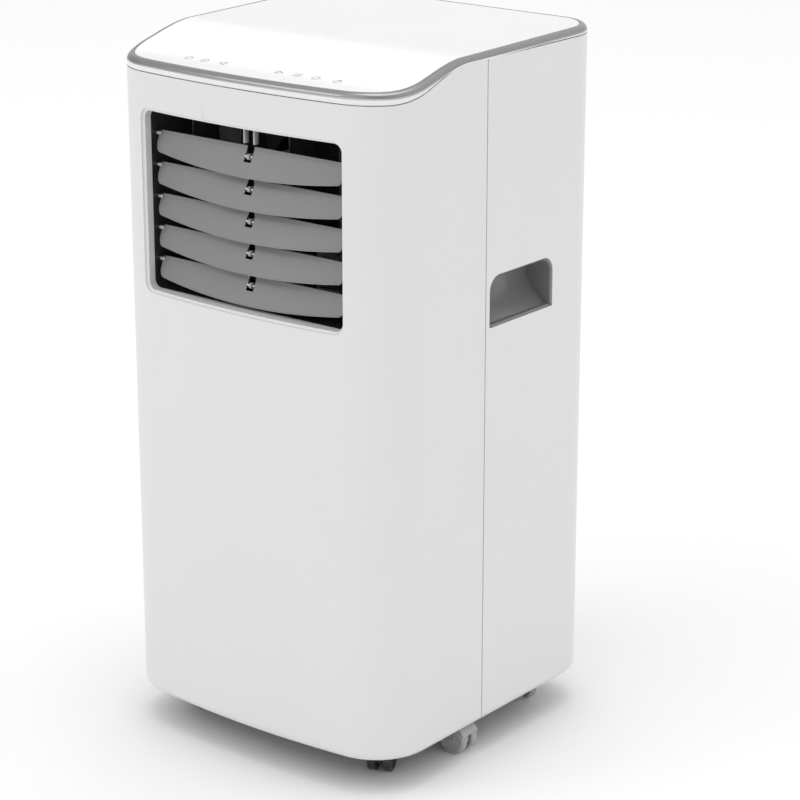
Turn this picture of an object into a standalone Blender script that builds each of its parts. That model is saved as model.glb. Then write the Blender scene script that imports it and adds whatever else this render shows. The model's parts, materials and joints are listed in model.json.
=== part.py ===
"""Portable air conditioner on casters, modelled in metres with +Z up.

The front faces -Y. The origin is on the floor, at the middle of the object's footprint.
"""

import math

import bmesh
import bpy
from mathutils import Matrix, Vector

# Casters and rollers
wheel_radius = 0.0145
wheel_width = 0.0085
wheel_gap = 0.0070
axle_radius = 0.0020
caster_trail = 0.0080
stem_radius = 0.0030
stem_length = 0.018
boss_radius = 0.0070
hood_gap = 0.0008
hood_wall = 0.0018
caster_x = 0.122
caster_front_y = -0.118
caster_rear_x = 0.132
caster_rear_y = 0.105
roller_x = 0.150
roller_y = -0.030
hood_headroom = 0.0014

# Casing, which stands just clear of the casters' hoods
width = 0.345
front_y = -0.1775
back_y = 0.1655
seam_y = -0.022
bottom_z = 2 * wheel_radius + hood_gap + hood_wall + hood_headroom
wall = 0.003
front_bow = 0.0145
front_corner = 0.060
rear_corner = 0.045
foot_round = 0.010
lip = 0.014

# Heights of the casing's top edge and of the lid, which step down towards the front
seam_rear_z = 0.6910
seam_front_z = 0.6665
lid_back_z = 0.7000
lid_step_z = 0.6965
lid_front_z = 0.6780
step_set_back = 0.0275
step_length = 0.100
panel_past_step = 0.011
step_front_y = front_y + step_set_back
step_rear_y = step_front_y + step_length
panel_edge_y = step_rear_y + panel_past_step
trim_width = 0.0075
trim_round = 0.0050
trim_gap = 0.0009
ledge = 0.0040
lid_thickness = 0.0025

# Clearances
gap = 0.0003
seam_gap = 0.0012
running = 0.00018

# Air outlet and louvers
outlet_half = 0.120
outlet_low = 0.4565
outlet_high = 0.6305
outlet_round = 0.008
outlet_lip = 0.0025
duct_set_back = 0.0185
duct_length = 0.0790
duct_front_y = front_y + duct_set_back
duct_back_y = duct_front_y + duct_length
duct_wall = 0.0025
louver_count = 5
louver_pitch = 0.0306
louver_behind_duct = 0.0060
louver_y = duct_front_y + louver_behind_duct
louver_first_z = 0.6065
louver_end_gap = 0.0055
louver_half = outlet_half - louver_end_gap
louver_above = 0.0030
louver_below = 0.0245
louver_end_below = 0.0145
louver_lean = 0.0070
louver_bow = 0.0055
louver_thickness = 0.0020
louver_pin = 0.0019
notch_half = 0.0045
notch_depth = 0.0112
link_pin = 0.0013
link_drop = 0.0065
link_half = 0.00175
link_bar_back = 0.0075
link_bar = 0.0030
bracket_reach = 0.012
bracket_half = 0.003
bracket_bar = 0.0022
bracket_leg = 0.002
bracket_clearance = 0.0022

# Upright vanes behind the louvers
vane_count = 4
vane_pitch = 0.060
vane_behind_louvers = 0.0340
vane_y = louver_y + vane_behind_louvers
vane_depth = 0.036
vane_thickness = 0.0015
vane_pin = 0.0020
vane_link_z = 0.5450
vane_link_back = 0.0130

# Rear openings
grille_half = 0.125
upper_grille_low = 0.455
upper_grille_high = 0.655
lower_grille_low = 0.075
lower_grille_high = 0.255
grille_stand = 0.012
lower_grille_stand = 0.005
filter_y = 0.1510
filter_thickness = 0.0040
exhaust_z = 0.345
exhaust_radius = 0.066
exhaust_wall = 0.005
drain_radius = 0.009
drain_x = -0.105
drain_upper_z = 0.300
drain_above_bottom = 0.023
drain_lower_z = bottom_z + drain_above_bottom
gland_x = 0.130
gland_z = 0.300
gland_radius = 0.008

# Partition over the exhaust duct
exhaust_headroom = 0.0090
partition_z = exhaust_z + exhaust_radius + exhaust_headroom
partition_thickness = 0.0025

# Handles
handle_front_y = -0.016
handle_back_y = 0.085
handle_above_partition = 0.0125
handle_height = 0.0500
handle_low = partition_z + partition_thickness + handle_above_partition
handle_high = handle_low + handle_height
handle_round = 0.015
handle_depth = 0.030
handle_wall = 0.0018

# Inner machinery
pan_height = 0.022
pan_clearance = 0.0057
scroll_wall = 0.0025
scroll_inset = 0.002
elbow_mouth_rim = 0.008
elbow_headroom = 0.008
evaporator_lift = 0.010
fan_radius = 0.084
fan_z = 0.545
cooling_y = 0.100
low_fan_x = -0.055
low_fan_z = 0.185
low_fan_radius = 0.062
compressor_x = 0.062
compressor_y = -0.078
compressor_radius = 0.052
compressor_height = 0.190
pipe_x = 0.136
pipe_y = 0.000


# ---- helpers ----

def clear_scene():
    for old in list(bpy.data.objects):
        bpy.data.objects.remove(old, do_unlink=True)


def collection(name):
    made = bpy.data.collections.new(name)
    bpy.context.scene.collection.children.link(made)
    return made


def material(name, colour, roughness, metallic=0.0):
    made = bpy.data.materials.new(name)
    made.use_nodes = True
    shader = made.node_tree.nodes["Principled BSDF"]
    shader.inputs["Base Color"].default_value = (*colour, 1.0)
    shader.inputs["Roughness"].default_value = roughness
    shader.inputs["Metallic"].default_value = metallic
    made.diffuse_color = (*colour, 1.0)
    return made


def object_from(name, shape, place=(0, 0, 0)):
    """A bmesh as an object with its faces outwards."""
    bmesh.ops.recalc_face_normals(shape, faces=shape.faces)
    mesh = bpy.data.meshes.new(name)
    shape.to_mesh(mesh)
    shape.free()
    made = bpy.data.objects.new(name, mesh)
    made.location = place
    parts.objects.link(made)
    return made


def boxes(name, corners, place=(0, 0, 0)):
    """One object holding a box for each (low corner, high corner)."""
    shape = bmesh.new()
    for low, high in corners:
        low, high = Vector(low), Vector(high)
        size = Matrix.Diagonal((*(high - low), 1))
        bmesh.ops.create_cube(shape, size=1, matrix=Matrix.Translation((low + high) / 2) @ size)
    return object_from(name, shape, place)


def box(name, low, high, place=(0, 0, 0)):
    return boxes(name, [(low, high)], place)


def rods(name, ends, radius, sides=12, place=(0, 0, 0)):
    """One object holding a round rod for each (start, end)."""
    shape = bmesh.new()
    for start, end in ends:
        start, end = Vector(start), Vector(end)
        turn = (end - start).to_track_quat("Z", "Y").to_matrix().to_4x4()
        bmesh.ops.create_cone(
            shape, cap_ends=True, segments=sides, radius1=radius, radius2=radius,
            depth=(end - start).length, matrix=Matrix.Translation((start + end) / 2) @ turn,
        )
    return object_from(name, shape, place)


def rod(name, start, end, radius, sides=12, place=(0, 0, 0)):
    return rods(name, [(start, end)], radius, sides, place)


def prism(name, outline, axis, low, high, place=(0, 0, 0)):
    """A flat outline, given in the two other axes, extruded along one axis."""
    def spot(a, b):
        return {"X": (low, a, b), "Y": (a, low, b), "Z": (a, b, low)}[axis]

    along = {"X": (1, 0, 0), "Y": (0, 1, 0), "Z": (0, 0, 1)}[axis]
    shape = bmesh.new()
    face = shape.faces.new([shape.verts.new(spot(a, b)) for a, b in outline])
    grown = bmesh.ops.extrude_face_region(shape, geom=[face])
    top = [item for item in grown["geom"] if isinstance(item, bmesh.types.BMVert)]
    bmesh.ops.translate(shape, verts=top, vec=Vector(along) * (high - low))
    return object_from(name, shape, place)


def skin(name, rows, place=(0, 0, 0)):
    """A closed skin over rows of points: a grid whose matching edges are welded and open ends filled."""
    across, along = len(rows[0]), len(rows)
    shape = bmesh.new()
    bmesh.ops.create_grid(shape, x_segments=across - 1, y_segments=along - 1, size=1)
    shape.verts.ensure_lookup_table()
    for vertex, point in zip(shape.verts, [point for row in rows for point in row]):
        vertex.co = point
    bmesh.ops.remove_doubles(shape, verts=shape.verts, dist=1e-6)
    edge = [e for e in shape.edges if e.is_boundary]
    bmesh.ops.holes_fill(shape, edges=edge, sides=0)
    bmesh.ops.triangulate(shape, faces=shape.faces)
    return object_from(name, shape, place)


def put_aside(tool):
    parts.objects.unlink(tool)
    cutters.objects.link(tool)
    tool.hide_render = True
    tool.display_type = "WIRE"


def combine(target, operation, tools):
    for tool in tools:
        put_aside(tool)
        step = target.modifiers.new(operation.lower(), "BOOLEAN")
        step.operation = operation
        step.solver = "EXACT"
        step.object = tool
    return target


def cut(target, *tools):
    return combine(target, "DIFFERENCE", tools)


def join(target, *tools):
    return combine(target, "UNION", tools)


def common(target, *tools):
    return combine(target, "INTERSECT", tools)


def round_edges(target, radius, segments=2, angle=40):
    step = target.modifiers.new("round", "BEVEL")
    step.width = radius
    step.segments = segments
    step.limit_method = "ANGLE"
    step.angle_limit = math.radians(angle)
    return target


def finish(target, finish_material, smooth=30):
    target.data.materials.clear()
    target.data.materials.append(finish_material)
    target.data.shade_smooth()
    target.data.set_sharp_from_angle(angle=math.radians(smooth))
    return target


def copy_of(source, name, place, turn=0.0, parent=None):
    """A copy that shares its source's finished mesh."""
    made = bpy.data.objects.new(name, source)
    made.location = place
    made.rotation_euler = (0, 0, turn)
    made.parent = parent
    parts.objects.link(made)
    return made


def baked(target):
    """The finished mesh of an object that was only made to be copied."""
    bpy.context.view_layer.update()
    graph = bpy.context.evaluated_depsgraph_get()
    mesh = bpy.data.meshes.new_from_object(target.evaluated_get(graph))
    mesh.name = target.name
    bpy.data.objects.remove(target)
    return mesh


def guide(name, place, turn=0.0):
    """An empty that stands on a joint's axis."""
    made = bpy.data.objects.new(name, None)
    made.location = place
    made.rotation_euler = (0, 0, turn)
    parts.objects.link(made)
    return made


def arc(centre, radius, start, end, steps):
    """Points along an arc, from one angle to the other in degrees."""
    angles = [math.radians(start + (end - start) * i / steps) for i in range(steps + 1)]
    return [(centre[0] + radius * math.cos(a), centre[1] + radius * math.sin(a)) for a in angles]


def rounded_box(low, high, radius, steps=3):
    """A rectangle with four round corners."""
    corners = [(high[0], high[1], 0), (low[0], high[1], 90), (low[0], low[1], 180), (high[0], low[1], 270)]
    outline = []
    for x, z, start in corners:
        centre = (x - math.copysign(radius, x - low[0] - radius),
                  z - math.copysign(radius, z - low[1] - radius))
        outline += arc(centre, radius, start, start + 90, steps)
    return outline


# ---- casing outline ----

def ease(share):
    share = min(1.0, max(0.0, share))
    return share * share * (3 - 2 * share)


def seam_height(y):
    """Height of the casing's top edge, which steps down towards the front."""
    return seam_front_z + (seam_rear_z - seam_front_z) * ease((y - step_front_y) / step_length)


def lid_height(y):
    """Height of the lid, which rises a little to the back and steps down towards the front."""
    if y > step_rear_y:
        return lid_step_z + (lid_back_z - lid_step_z) * (y - step_rear_y) / (back_y - step_rear_y)
    return lid_front_z + (lid_step_z - lid_front_z) * ease((y - step_front_y) / step_length)


def front_half(inset, start_y):
    """Outline of the casing's front, from the right side over the bowed front to the left side."""
    half = width / 2
    bow = (half * half + front_bow * front_bow) / (2 * front_bow)
    bow_y = front_y + bow
    corner_x = half - front_corner
    reach = bow - front_corner
    corner_y = bow_y - math.sqrt(reach * reach - corner_x * corner_x)
    swing = math.degrees(math.asin(corner_x / reach))
    side = [start_y + (corner_y - start_y) * i / 5 for i in range(5)]
    right = [(half - inset, y) for y in side]
    right += arc((corner_x, corner_y), front_corner - inset, 0, swing - 90, 6)
    middle = arc((0, bow_y), bow - inset, swing - 90, -90, 4)[1:]
    points = right + middle
    return points + [(-x, y) for x, y in reversed(points[:-1])]


def rear_half(inset, start_y):
    """Outline of the casing's rear, from the left side round the back to the right side."""
    half = width / 2
    centre = (half - rear_corner, back_y - rear_corner)
    right = [(half - inset, start_y)] + arc(centre, rear_corner - inset, 0, 90, 5)
    return [(-x, y) for x, y in right] + list(reversed(right))


def whole_outline(inset):
    return front_half(inset, seam_y) + rear_half(inset, seam_y)[1:-1]


def sweep(name, section, path):
    """A section of (inset, height rule) points carried along the casing's outline."""
    rows = []
    for inset, height in section + section[:1]:
        rows.append([(x, y, height(y)) for x, y in path(inset)])
    return skin(name, rows)


def shell_section():
    """Wall with a turned-in foot: outer face upwards, then inner face downwards."""
    inner_round = foot_round - wall
    outer = [(foot_round - foot_round * math.sin(math.radians(a)), foot_round - foot_round * math.cos(math.radians(a)))
             for a in (0, 30, 60, 90)]
    inner = [(foot_round - inner_round * math.sin(math.radians(a)), foot_round - inner_round * math.cos(math.radians(a)))
             for a in (90, 45, 0)]
    section = [(lip, lambda y: bottom_z)]
    section += [(inset, lambda y, up=up: bottom_z + up) for inset, up in outer]
    section += [(0.0, seam_height), (wall, seam_height)]
    section += [(inset, lambda y, up=up: bottom_z + up) for inset, up in inner]
    section += [(lip, lambda y: bottom_z + wall)]
    return section


# ---- casing ----

def outlet_outline(grow=0.0):
    low = (-outlet_half - grow, outlet_low - grow)
    high = (outlet_half + grow, outlet_high + grow)
    return rounded_box(low, high, outlet_round + grow)


def make_front_shell():
    shell = sweep("front_shell", shell_section(), lambda inset: front_half(inset, seam_y - seam_gap / 2))
    rim = prism("outlet_rim", outlet_outline(outlet_lip), "Y", front_y - 0.01, duct_front_y - gap)
    front = [(x, y) for x, y in front_half(wall / 2, seam_y) if y < duct_front_y]
    common(rim, prism("rim_trim", front, "Z", outlet_low - 0.02, outlet_high + 0.02))
    join(shell, rim)
    cut(shell, prism("outlet_hole", outlet_outline(), "Y", front_y - 0.02, duct_front_y + 0.01))
    return finish(shell, materials["casing"])


def handle_outline(grow=0.0):
    low = (handle_front_y - grow, handle_low - grow)
    high = (handle_back_y + grow, handle_high + grow)
    corner = handle_round + grow
    top_back = arc((high[0] - corner, high[1] - corner), corner, 0, 90, 5)
    top_front = arc((low[0] + corner, high[1] - corner), corner, 90, 180, 5)
    return top_back + top_front + [low, (high[0], low[1])]


def make_rear_shell():
    shell = sweep("rear_shell", shell_section(), lambda inset: rear_half(inset, seam_y + seam_gap / 2))
    inside = width / 2 - wall - gap
    tongue_front, tongue_back = seam_y - 0.012, handle_front_y - 0.0015
    tongue_low, tongue_high = bottom_z + 0.020, seam_rear_z - 0.020
    for name, side in (("right", 1), ("left", -1)):
        near, far = sorted((side * (inside - 0.002), side * inside))
        root = sorted((side * (inside - 0.002), side * (inside + wall / 2)))
        join(shell, box(f"tongue_{name}", (near, tongue_front, tongue_low), (far, tongue_back, tongue_high)))
        join(shell, box(f"tongue_root_{name}", (root[0], seam_y + seam_gap / 2 + gap, tongue_low),
                        (root[1], tongue_back, tongue_high)))
    cut(shell, prism("handle_holes", handle_outline(), "X", -width, width))
    through = (back_y - 0.02, back_y + 0.02)
    cut(shell, boxes("grille_holes", [
        ((-grille_half, through[0], upper_grille_low), (grille_half, through[1], upper_grille_high)),
        ((-grille_half, through[0], lower_grille_low), (grille_half, through[1], lower_grille_high)),
    ]))
    cut(shell, rod("exhaust_hole", (0, through[0], exhaust_z), (0, through[1], exhaust_z),
                   exhaust_radius, 28))
    cut(shell, rods("drain_holes", [((drain_x, through[0], z), (drain_x, through[1], z))
                                    for z in (drain_upper_z, drain_lower_z)], drain_radius, 16))
    cut(shell, rod("gland_hole", (gland_x, through[0], gland_z), (gland_x, through[1], gland_z),
                   gland_radius, 16))
    return finish(shell, materials["casing"])


def make_handle_cup(name, side):
    outer = side * (width / 2 - 0.0006)
    inner = side * (width / 2 - handle_depth)
    floor = side * (width / 2 - handle_depth + 0.002)
    cup = prism(name, handle_outline(-gap), "X", *sorted((inner, outer)))
    hollow = sorted((floor, outer + side * 0.01))
    cut(cup, prism(name + "_hollow", handle_outline(-handle_wall), "X", *hollow))
    return finish(cup, materials["dark_plastic"])


def make_top_trim():
    skirt_in, skirt_out = wall + gap, wall + gap + 0.002
    seat = lid_thickness + gap
    section = [
        (0.0, lambda y: seam_height(y) + trim_gap),
        (0.0, lambda y: lid_height(y) - trim_round),
        (trim_round * 0.29, lambda y: lid_height(y) - trim_round * 0.29),
        (trim_round, lambda y: lid_height(y)),
        (trim_width, lambda y: lid_height(y)),
        (trim_width, lambda y: lid_height(y) - seat),
        (trim_width + ledge, lambda y: lid_height(y) - seat),
        (trim_width + ledge, lambda y: lid_height(y) - seat - 0.002),
        (skirt_out, lambda y: lid_height(y) - seat - 0.002),
        (skirt_out, lambda y: seam_height(y) - 0.010),
        (skirt_in, lambda y: seam_height(y) - 0.010),
        (skirt_in, lambda y: seam_height(y) + trim_gap),
    ]

    def closed_path(inset):
        points = whole_outline(inset)
        return points + points[:1]

    trim = sweep("top_trim", section, closed_path)
    return finish(trim, materials["silver"], 50)


def lid_piece(name, start_y, end_y):
    """Part of the lid between two depths: a slab at the lid's height, cut to the casing's outline."""
    steps = [start_y + (end_y - start_y) * i / 14 for i in range(15)]
    top = [(y, lid_height(y)) for y in steps]
    under = [(y, lid_height(y) - lid_thickness) for y in reversed(steps)]
    slab = prism(name, top + under, "X", -width / 2, width / 2)
    path = whole_outline(trim_width + gap)
    inside = prism(name + "_outline", path, "Z", lid_front_z - 0.02, lid_back_z + 0.02)
    return common(slab, inside)


def make_lid():
    finish(lid_piece("top_deck", panel_edge_y + gap, back_y), materials["deck"])
    finish(lid_piece("control_panel", front_y, panel_edge_y - gap), materials["panel"])


def make_control_board():
    board_z = 0.652
    board = box("control_board", (-0.100, -0.135, board_z), (0.100, -0.070, board_z + 0.0016))
    posts = []
    for x in (-0.090, 0.090):
        for y in (-0.128, -0.078):
            top = lid_height(y - 0.004) - lid_thickness - gap * 2
            posts.append(((x - 0.004, y - 0.004, board_z + 0.001), (x + 0.004, y + 0.004, top)))
    posts.append(((-0.030, -0.115, board_z + 0.001), (0.030, -0.090, board_z + 0.008)))
    return finish(join(board, boxes("board_blocks", posts)), materials["board"])


def make_base_pan():
    floor_z = bottom_z + wall + gap
    path = whole_outline(wall + 2 * gap + foot_round - wall)
    pan = prism("base_pan", path, "Z", floor_z, floor_z + pan_height)
    bosses = [(x, y) for x, y, *_ in caster_places()] + [(x, roller_y) for x in (-roller_x, roller_x)]
    inner = whole_outline(wall + 2 * gap + foot_round - wall + 0.0025)
    cut(pan, prism("pan_hollow", inner, "Z", floor_z + 0.0025, floor_z + pan_height + 0.01))
    top = floor_z + pan_height - 0.002
    join(pan, rods("caster_bosses", [((x, y, floor_z + 0.001), (x, y, top)) for x, y in bosses], boss_radius, 10))
    cut(pan, rods("stem_holes", [((x, y, floor_z - 0.01), (x, y, bottom_z + stem_length + 0.001))
                                 for x, y in bosses], stem_radius + 2 * running, 8))
    return finish(pan, materials["dark_plastic"])


# ---- louvers and vanes ----

def louver_z(number):
    return louver_first_z - number * louver_pitch


def make_outlet_duct():
    outline = outlet_outline(duct_wall + gap)
    duct = prism("outlet_duct", outline, "Y", duct_front_y, duct_back_y)
    cut(duct, prism("duct_hollow", outlet_outline(gap), "Y", duct_front_y - 0.01, duct_back_y + 0.01))
    reach = outlet_half + duct_wall + 0.01
    pins = [((-reach, louver_y, louver_z(i)), (reach, louver_y, louver_z(i))) for i in range(louver_count)]
    cut(duct, rods("louver_holes", pins, louver_pin + running * 2, 8))
    low, high = outlet_low - duct_wall - 0.01, outlet_high + duct_wall + 0.01
    cut(duct, rods("vane_holes", [((x, vane_y, low), (x, vane_y, high)) for x in vane_places()],
                   vane_pin + running * 2, 8))
    return finish(duct, materials["black_plastic"])


def make_centre_bracket():
    """Two short legs on a bar, which hang from the outlet's top over the first louver."""
    front, back = louver_y - bracket_half, louver_y + bracket_half
    foot = louver_z(0) + louver_above + bracket_clearance
    bar = box("centre_bracket", (-bracket_reach, front, outlet_high - bracket_bar),
              (bracket_reach, back, outlet_high - gap))
    legs = [((x - bracket_leg / 2, front, foot), (x + bracket_leg / 2, back, outlet_high - bracket_bar / 2))
            for x in (-bracket_reach / 2, bracket_reach / 2)]
    return finish(join(bar, boxes("bracket_legs", legs)), materials["light_grey"])


def lean_at(drop):
    """How far forward the blade's face stands at a drop below its axis."""
    return -louver_lean * drop / louver_below


def make_louver_mesh():
    """One blade about its pivot axis, with its end pins and the cross pin in its middle notch."""
    columns = [i / 4 for i in range(-4, 5)]
    drops = [-louver_above, 0.0, louver_below / 2, louver_below]
    front, back = [], []
    for level, drop in enumerate(drops):
        share = max(0.0, drop / louver_below)
        half = louver_half - 0.009 * share ** 2
        for rows, offset in ((front, -louver_thickness / 2), (back, louver_thickness / 2)):
            row = []
            for column in columns:
                shorter = (louver_below - louver_end_below) * column ** 2 * share
                bow = louver_bow * (1 - column ** 2) * share
                row.append((column * half, lean_at(drop) - bow + offset, -(drop - shorter)))
            rows.append(row)
    blade = skin("louver_blade", front + back[::-1] + front[:1])
    cut(blade, box("louver_notch", (-notch_half, -0.02, -notch_depth), (notch_half, 0.02, 0.02)))
    reach = outlet_half + gap + duct_wall - 0.0005
    join(blade, rods("louver_pins", [((-reach, 0, 0), (-louver_half + 0.004, 0, 0)),
                                     ((louver_half - 0.004, 0, 0), (reach, 0, 0))], louver_pin, 8))
    join(blade, rod("louver_cross_pin", (-notch_half - 0.002, lean_at(link_drop) - 0.0008, -link_drop),
                    (notch_half + 0.002, lean_at(link_drop) - 0.0008, -link_drop), link_pin, 8))
    return baked(finish(blade, materials["louver"]))


def link_pin_y():
    return louver_y + lean_at(link_drop) - 0.0008


def make_louvers():
    mesh = make_louver_mesh()
    for i in range(louver_count):
        copy_of(mesh, f"louver_{i + 1}", (0, louver_y, louver_z(i)))


def make_louver_link():
    """Upright bar with an eye round each louver's cross pin; its origin is on the first pin."""
    start = Vector((0, link_pin_y(), louver_z(0) - link_drop))
    length = (louver_count - 1) * louver_pitch
    link = box("louver_link", (-link_half, link_bar_back, -length - link_bar),
               (link_half, link_bar_back + link_bar, link_bar), start)
    eye = link_pin + 0.0016
    eyes = [((-link_half, -eye, -i * louver_pitch - eye), (link_half, link_bar_back + 0.001, -i * louver_pitch + eye))
            for i in range(louver_count)]
    join(link, boxes("link_eyes", eyes, start))
    holes = [((-0.01, 0, -i * louver_pitch), (0.01, 0, -i * louver_pitch)) for i in range(louver_count)]
    cut(link, rods("link_holes", holes, link_pin + 0.0003, 8, start))
    return finish(link, materials["light_grey"])


def vane_places():
    return [(i - (vane_count - 1) / 2) * vane_pitch for i in range(vane_count)]


def make_vanes():
    """Upright vanes that turn about their pins; a notch in each rear edge takes the link."""
    low, high = outlet_low + 0.002, outlet_high - 0.002
    front, back = -vane_depth / 2 + 0.003, vane_depth / 2 + 0.003
    vane = box("vane_blade", (-vane_thickness / 2, front, low - vane_link_z),
               (vane_thickness / 2, back, high - vane_link_z))
    cut(vane, box("vane_notch", (-0.01, vane_link_back - 0.0055, -0.005), (0.01, back + 0.01, 0.005)))
    under, over = outlet_low - duct_wall + 0.0005, outlet_high + duct_wall - 0.0005
    join(vane, rods("vane_pins", [((0, 0, under - vane_link_z), (0, 0, low + 0.004 - vane_link_z)),
                                  ((0, 0, high - 0.004 - vane_link_z), (0, 0, over - vane_link_z))],
                    vane_pin, 8))
    join(vane, rod("vane_cross_pin", (0, vane_link_back, -0.0062), (0, vane_link_back, 0.0062), 0.0012, 8))
    mesh = baked(finish(vane, materials["black_plastic"]))
    for i, x in enumerate(vane_places()):
        copy_of(mesh, f"vane_{i + 1}", (x, vane_y, vane_link_z))


def make_vane_link():
    """Flat bar with a hole round each vane's rear pin; its origin is on the first pin."""
    start = Vector((vane_places()[0], vane_y + vane_link_back, vane_link_z))
    length = (vane_count - 1) * vane_pitch
    link = box("vane_link", (-0.006, -0.003, -0.0015), (length + 0.006, 0.003, 0.0015), start)
    holes = [((i * vane_pitch, 0, -0.01), (i * vane_pitch, 0, 0.01)) for i in range(vane_count)]
    cut(link, rods("vane_link_holes", holes, 0.0015, 8, start))
    return finish(link, materials["black_plastic"])


# ---- rear pieces ----

def slotted_panel(name, low, high, rows, finish_material):
    """A framed panel with two columns of level slots."""
    border, middle, bar = 0.008, 0.003, 0.004
    panel = box(name, low, high)
    pitch = (high[2] - low[2] - 2 * border + bar) / rows
    slots = []
    for i in range(rows):
        z = low[2] + border + i * pitch
        for x0, x1 in ((low[0] + border, -middle), (middle, high[0] - border)):
            slots.append(((x0, low[1] - 0.01, z), (x1, high[1] + 0.01, z + pitch - bar)))
    return finish(cut(panel, boxes(name + "_slots", slots)), finish_material)


def make_grilles():
    fit = 0.0005
    slotted_panel("filter_door", (-grille_half + fit, back_y - wall, upper_grille_low + fit),
                  (grille_half - fit, back_y + grille_stand, upper_grille_high - fit), 13, materials["casing"])
    slotted_panel("lower_grille", (-grille_half + fit, back_y - wall, lower_grille_low + fit),
                  (grille_half - fit, back_y + lower_grille_stand, lower_grille_high - fit), 12, materials["casing"])


def make_air_filter():
    margin = 0.004
    low = (-grille_half + margin, filter_y, upper_grille_low + margin)
    high = (grille_half - margin, filter_y + filter_thickness, upper_grille_high - margin)
    panel = box("air_filter", low, high)
    rib, across, up = 0.005, 4, 3
    cell_x = (high[0] - low[0] - rib) / across
    cell_z = (high[2] - low[2] - rib) / up
    windows = []
    for i in range(across):
        for k in range(up):
            x, z = low[0] + rib + i * cell_x, low[2] + rib + k * cell_z
            windows.append(((x, low[1] - 0.01, z), (x + cell_x - rib, high[1] + 0.01, z + cell_z - rib)))
    cut(panel, boxes("filter_windows", windows))
    stems = [((x - 0.003, high[1] - 0.001, z - 0.003), (x + 0.003, back_y - wall - gap, z + 0.003))
             for x in (low[0] + 0.0035, high[0] - 0.0035) for z in (low[2] + 0.0035, high[2] - 0.0035)]
    return finish(join(panel, boxes("filter_stems", stems)), materials["black_plastic"])


def make_exhaust_collar():
    outer = exhaust_radius - gap
    start = back_y - 0.026
    collar = rod("exhaust_collar", (0, start, exhaust_z), (0, back_y + grille_stand, exhaust_z), outer, 28)
    flange = rod("collar_flange", (0, back_y + gap, exhaust_z), (0, back_y + gap + 0.003, exhaust_z),
                 outer + 0.006, 28)
    bore = rod("collar_bore", (0, start - 0.01, exhaust_z), (0, back_y + 0.03, exhaust_z),
               outer - exhaust_wall, 28)
    return finish(cut(join(collar, flange), bore), materials["casing"])


def make_drain_plug(name, z):
    """Rubber plug: a shank in the casing's hole, a round head, and its origin on the shank's axis."""
    place = (drain_x, back_y, z)
    plug = rod(name, (0, -0.008, 0), (0, 0.004, 0), drain_radius - 0.0006, 16, place)
    head = rod(name + "_head", (0, gap, 0), (0, 0.004, 0), drain_radius + 0.004, 16, place)
    tab = box(name + "_tab", (-0.002, 0.003, -0.006), (0.002, 0.009, 0.006), place)
    return finish(join(plug, head, tab), materials["rubber"])


def make_cord_gland():
    place = (gland_x, back_y, gland_z)
    gland = rod("cord_gland", (0, -0.010, 0), (0, 0.007, 0), gland_radius - gap, 16, place)
    collar = rod("gland_collar", (0, gap, 0), (0, 0.003, 0), gland_radius + 0.003, 16, place)
    hole = rod("gland_bore", (0, -0.02, 0), (0, 0.02, 0), 0.0037, 12, place)
    return finish(cut(join(gland, collar), hole), materials["rubber"])


# ---- casters ----

def caster_places():
    """Position, heading and finish of each swivel caster."""
    return [
        (caster_x, caster_front_y, 25, "caster_front_right", "black_plastic"),
        (-caster_x, caster_front_y, -20, "caster_front_left", "black_plastic"),
        (caster_rear_x, caster_rear_y, 70, "caster_rear_right", "light_grey"),
        (-caster_rear_x, caster_rear_y, 110, "caster_rear_left", "light_grey"),
    ]


def fork_mesh(name, trail, finish_material):
    """Stem, hood and axle of a twin-wheel caster; the origin is on the stem, at floor level."""
    top = bottom_z - 0.0005
    body_half = wheel_gap / 2 - 0.0006
    axle_z = wheel_radius
    inner, outer = wheel_radius + hood_gap, wheel_radius + hood_gap + hood_wall
    reach = wheel_gap / 2 + wheel_width
    web_top = top - 0.0012
    web = [(-0.0065, web_top), (-0.0065, top - 0.006)] + arc((trail, axle_z), 0.005, 200, 360, 4)
    web += [(trail + 0.009, top - 0.006), (trail + 0.009, web_top)]
    fork = prism(name, web, "X", -body_half, body_half)
    band = arc((trail, axle_z), outer, 25, 155, 5) + arc((trail, axle_z), inner, 155, 25, 5)
    join(fork, prism(name + "_hood", band, "X", -reach, reach))
    join(fork, rod(name + "_seat", (0, 0, top - 0.003), (0, 0, top), boss_radius, 8))
    join(fork, rod(name + "_stem", (0, 0, top - 0.001), (0, 0, bottom_z + stem_length), stem_radius, 8))
    end = reach + 0.0006
    join(fork, rod(name + "_axle", (-end, trail, axle_z), (end, trail, axle_z), axle_radius, 8))
    return baked(finish(fork, finish_material))


def wheel_mesh(name, finish_material):
    """One wheel about its axle, which lies along X."""
    half = wheel_width / 2
    wheel = rod(name, (-half, 0, 0), (half, 0, 0), wheel_radius, 14)
    round_edges(wheel, 0.0012, 1, 60)
    cut(wheel, rod(name + "_bore", (-0.02, 0, 0), (0.02, 0, 0), axle_radius + 2 * running, 8))
    return baked(finish(wheel, finish_material))


def add_wheels(name, mesh, parent, trail):
    for side, way in (("inner", -1), ("outer", 1)):
        place = (way * (wheel_gap + wheel_width) / 2, trail, wheel_radius)
        copy_of(mesh, f"{name}_wheel_{side}", place, 0, parent)


def make_casters():
    forks, wheels = {}, {}
    for colour in ("black_plastic", "light_grey"):
        forks[colour] = fork_mesh("fork_" + colour, caster_trail, materials[colour])
        wheels[colour] = wheel_mesh("wheel_" + colour, materials["wheel_" + colour])
    for x, y, heading, name, colour in caster_places():
        axis = guide(name, (x, y, 0), math.radians(heading))
        copy_of(forks[colour], name + "_fork", (0, 0, 0), 0, axis)
        add_wheels(name, wheels[colour], axis, caster_trail)


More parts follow.
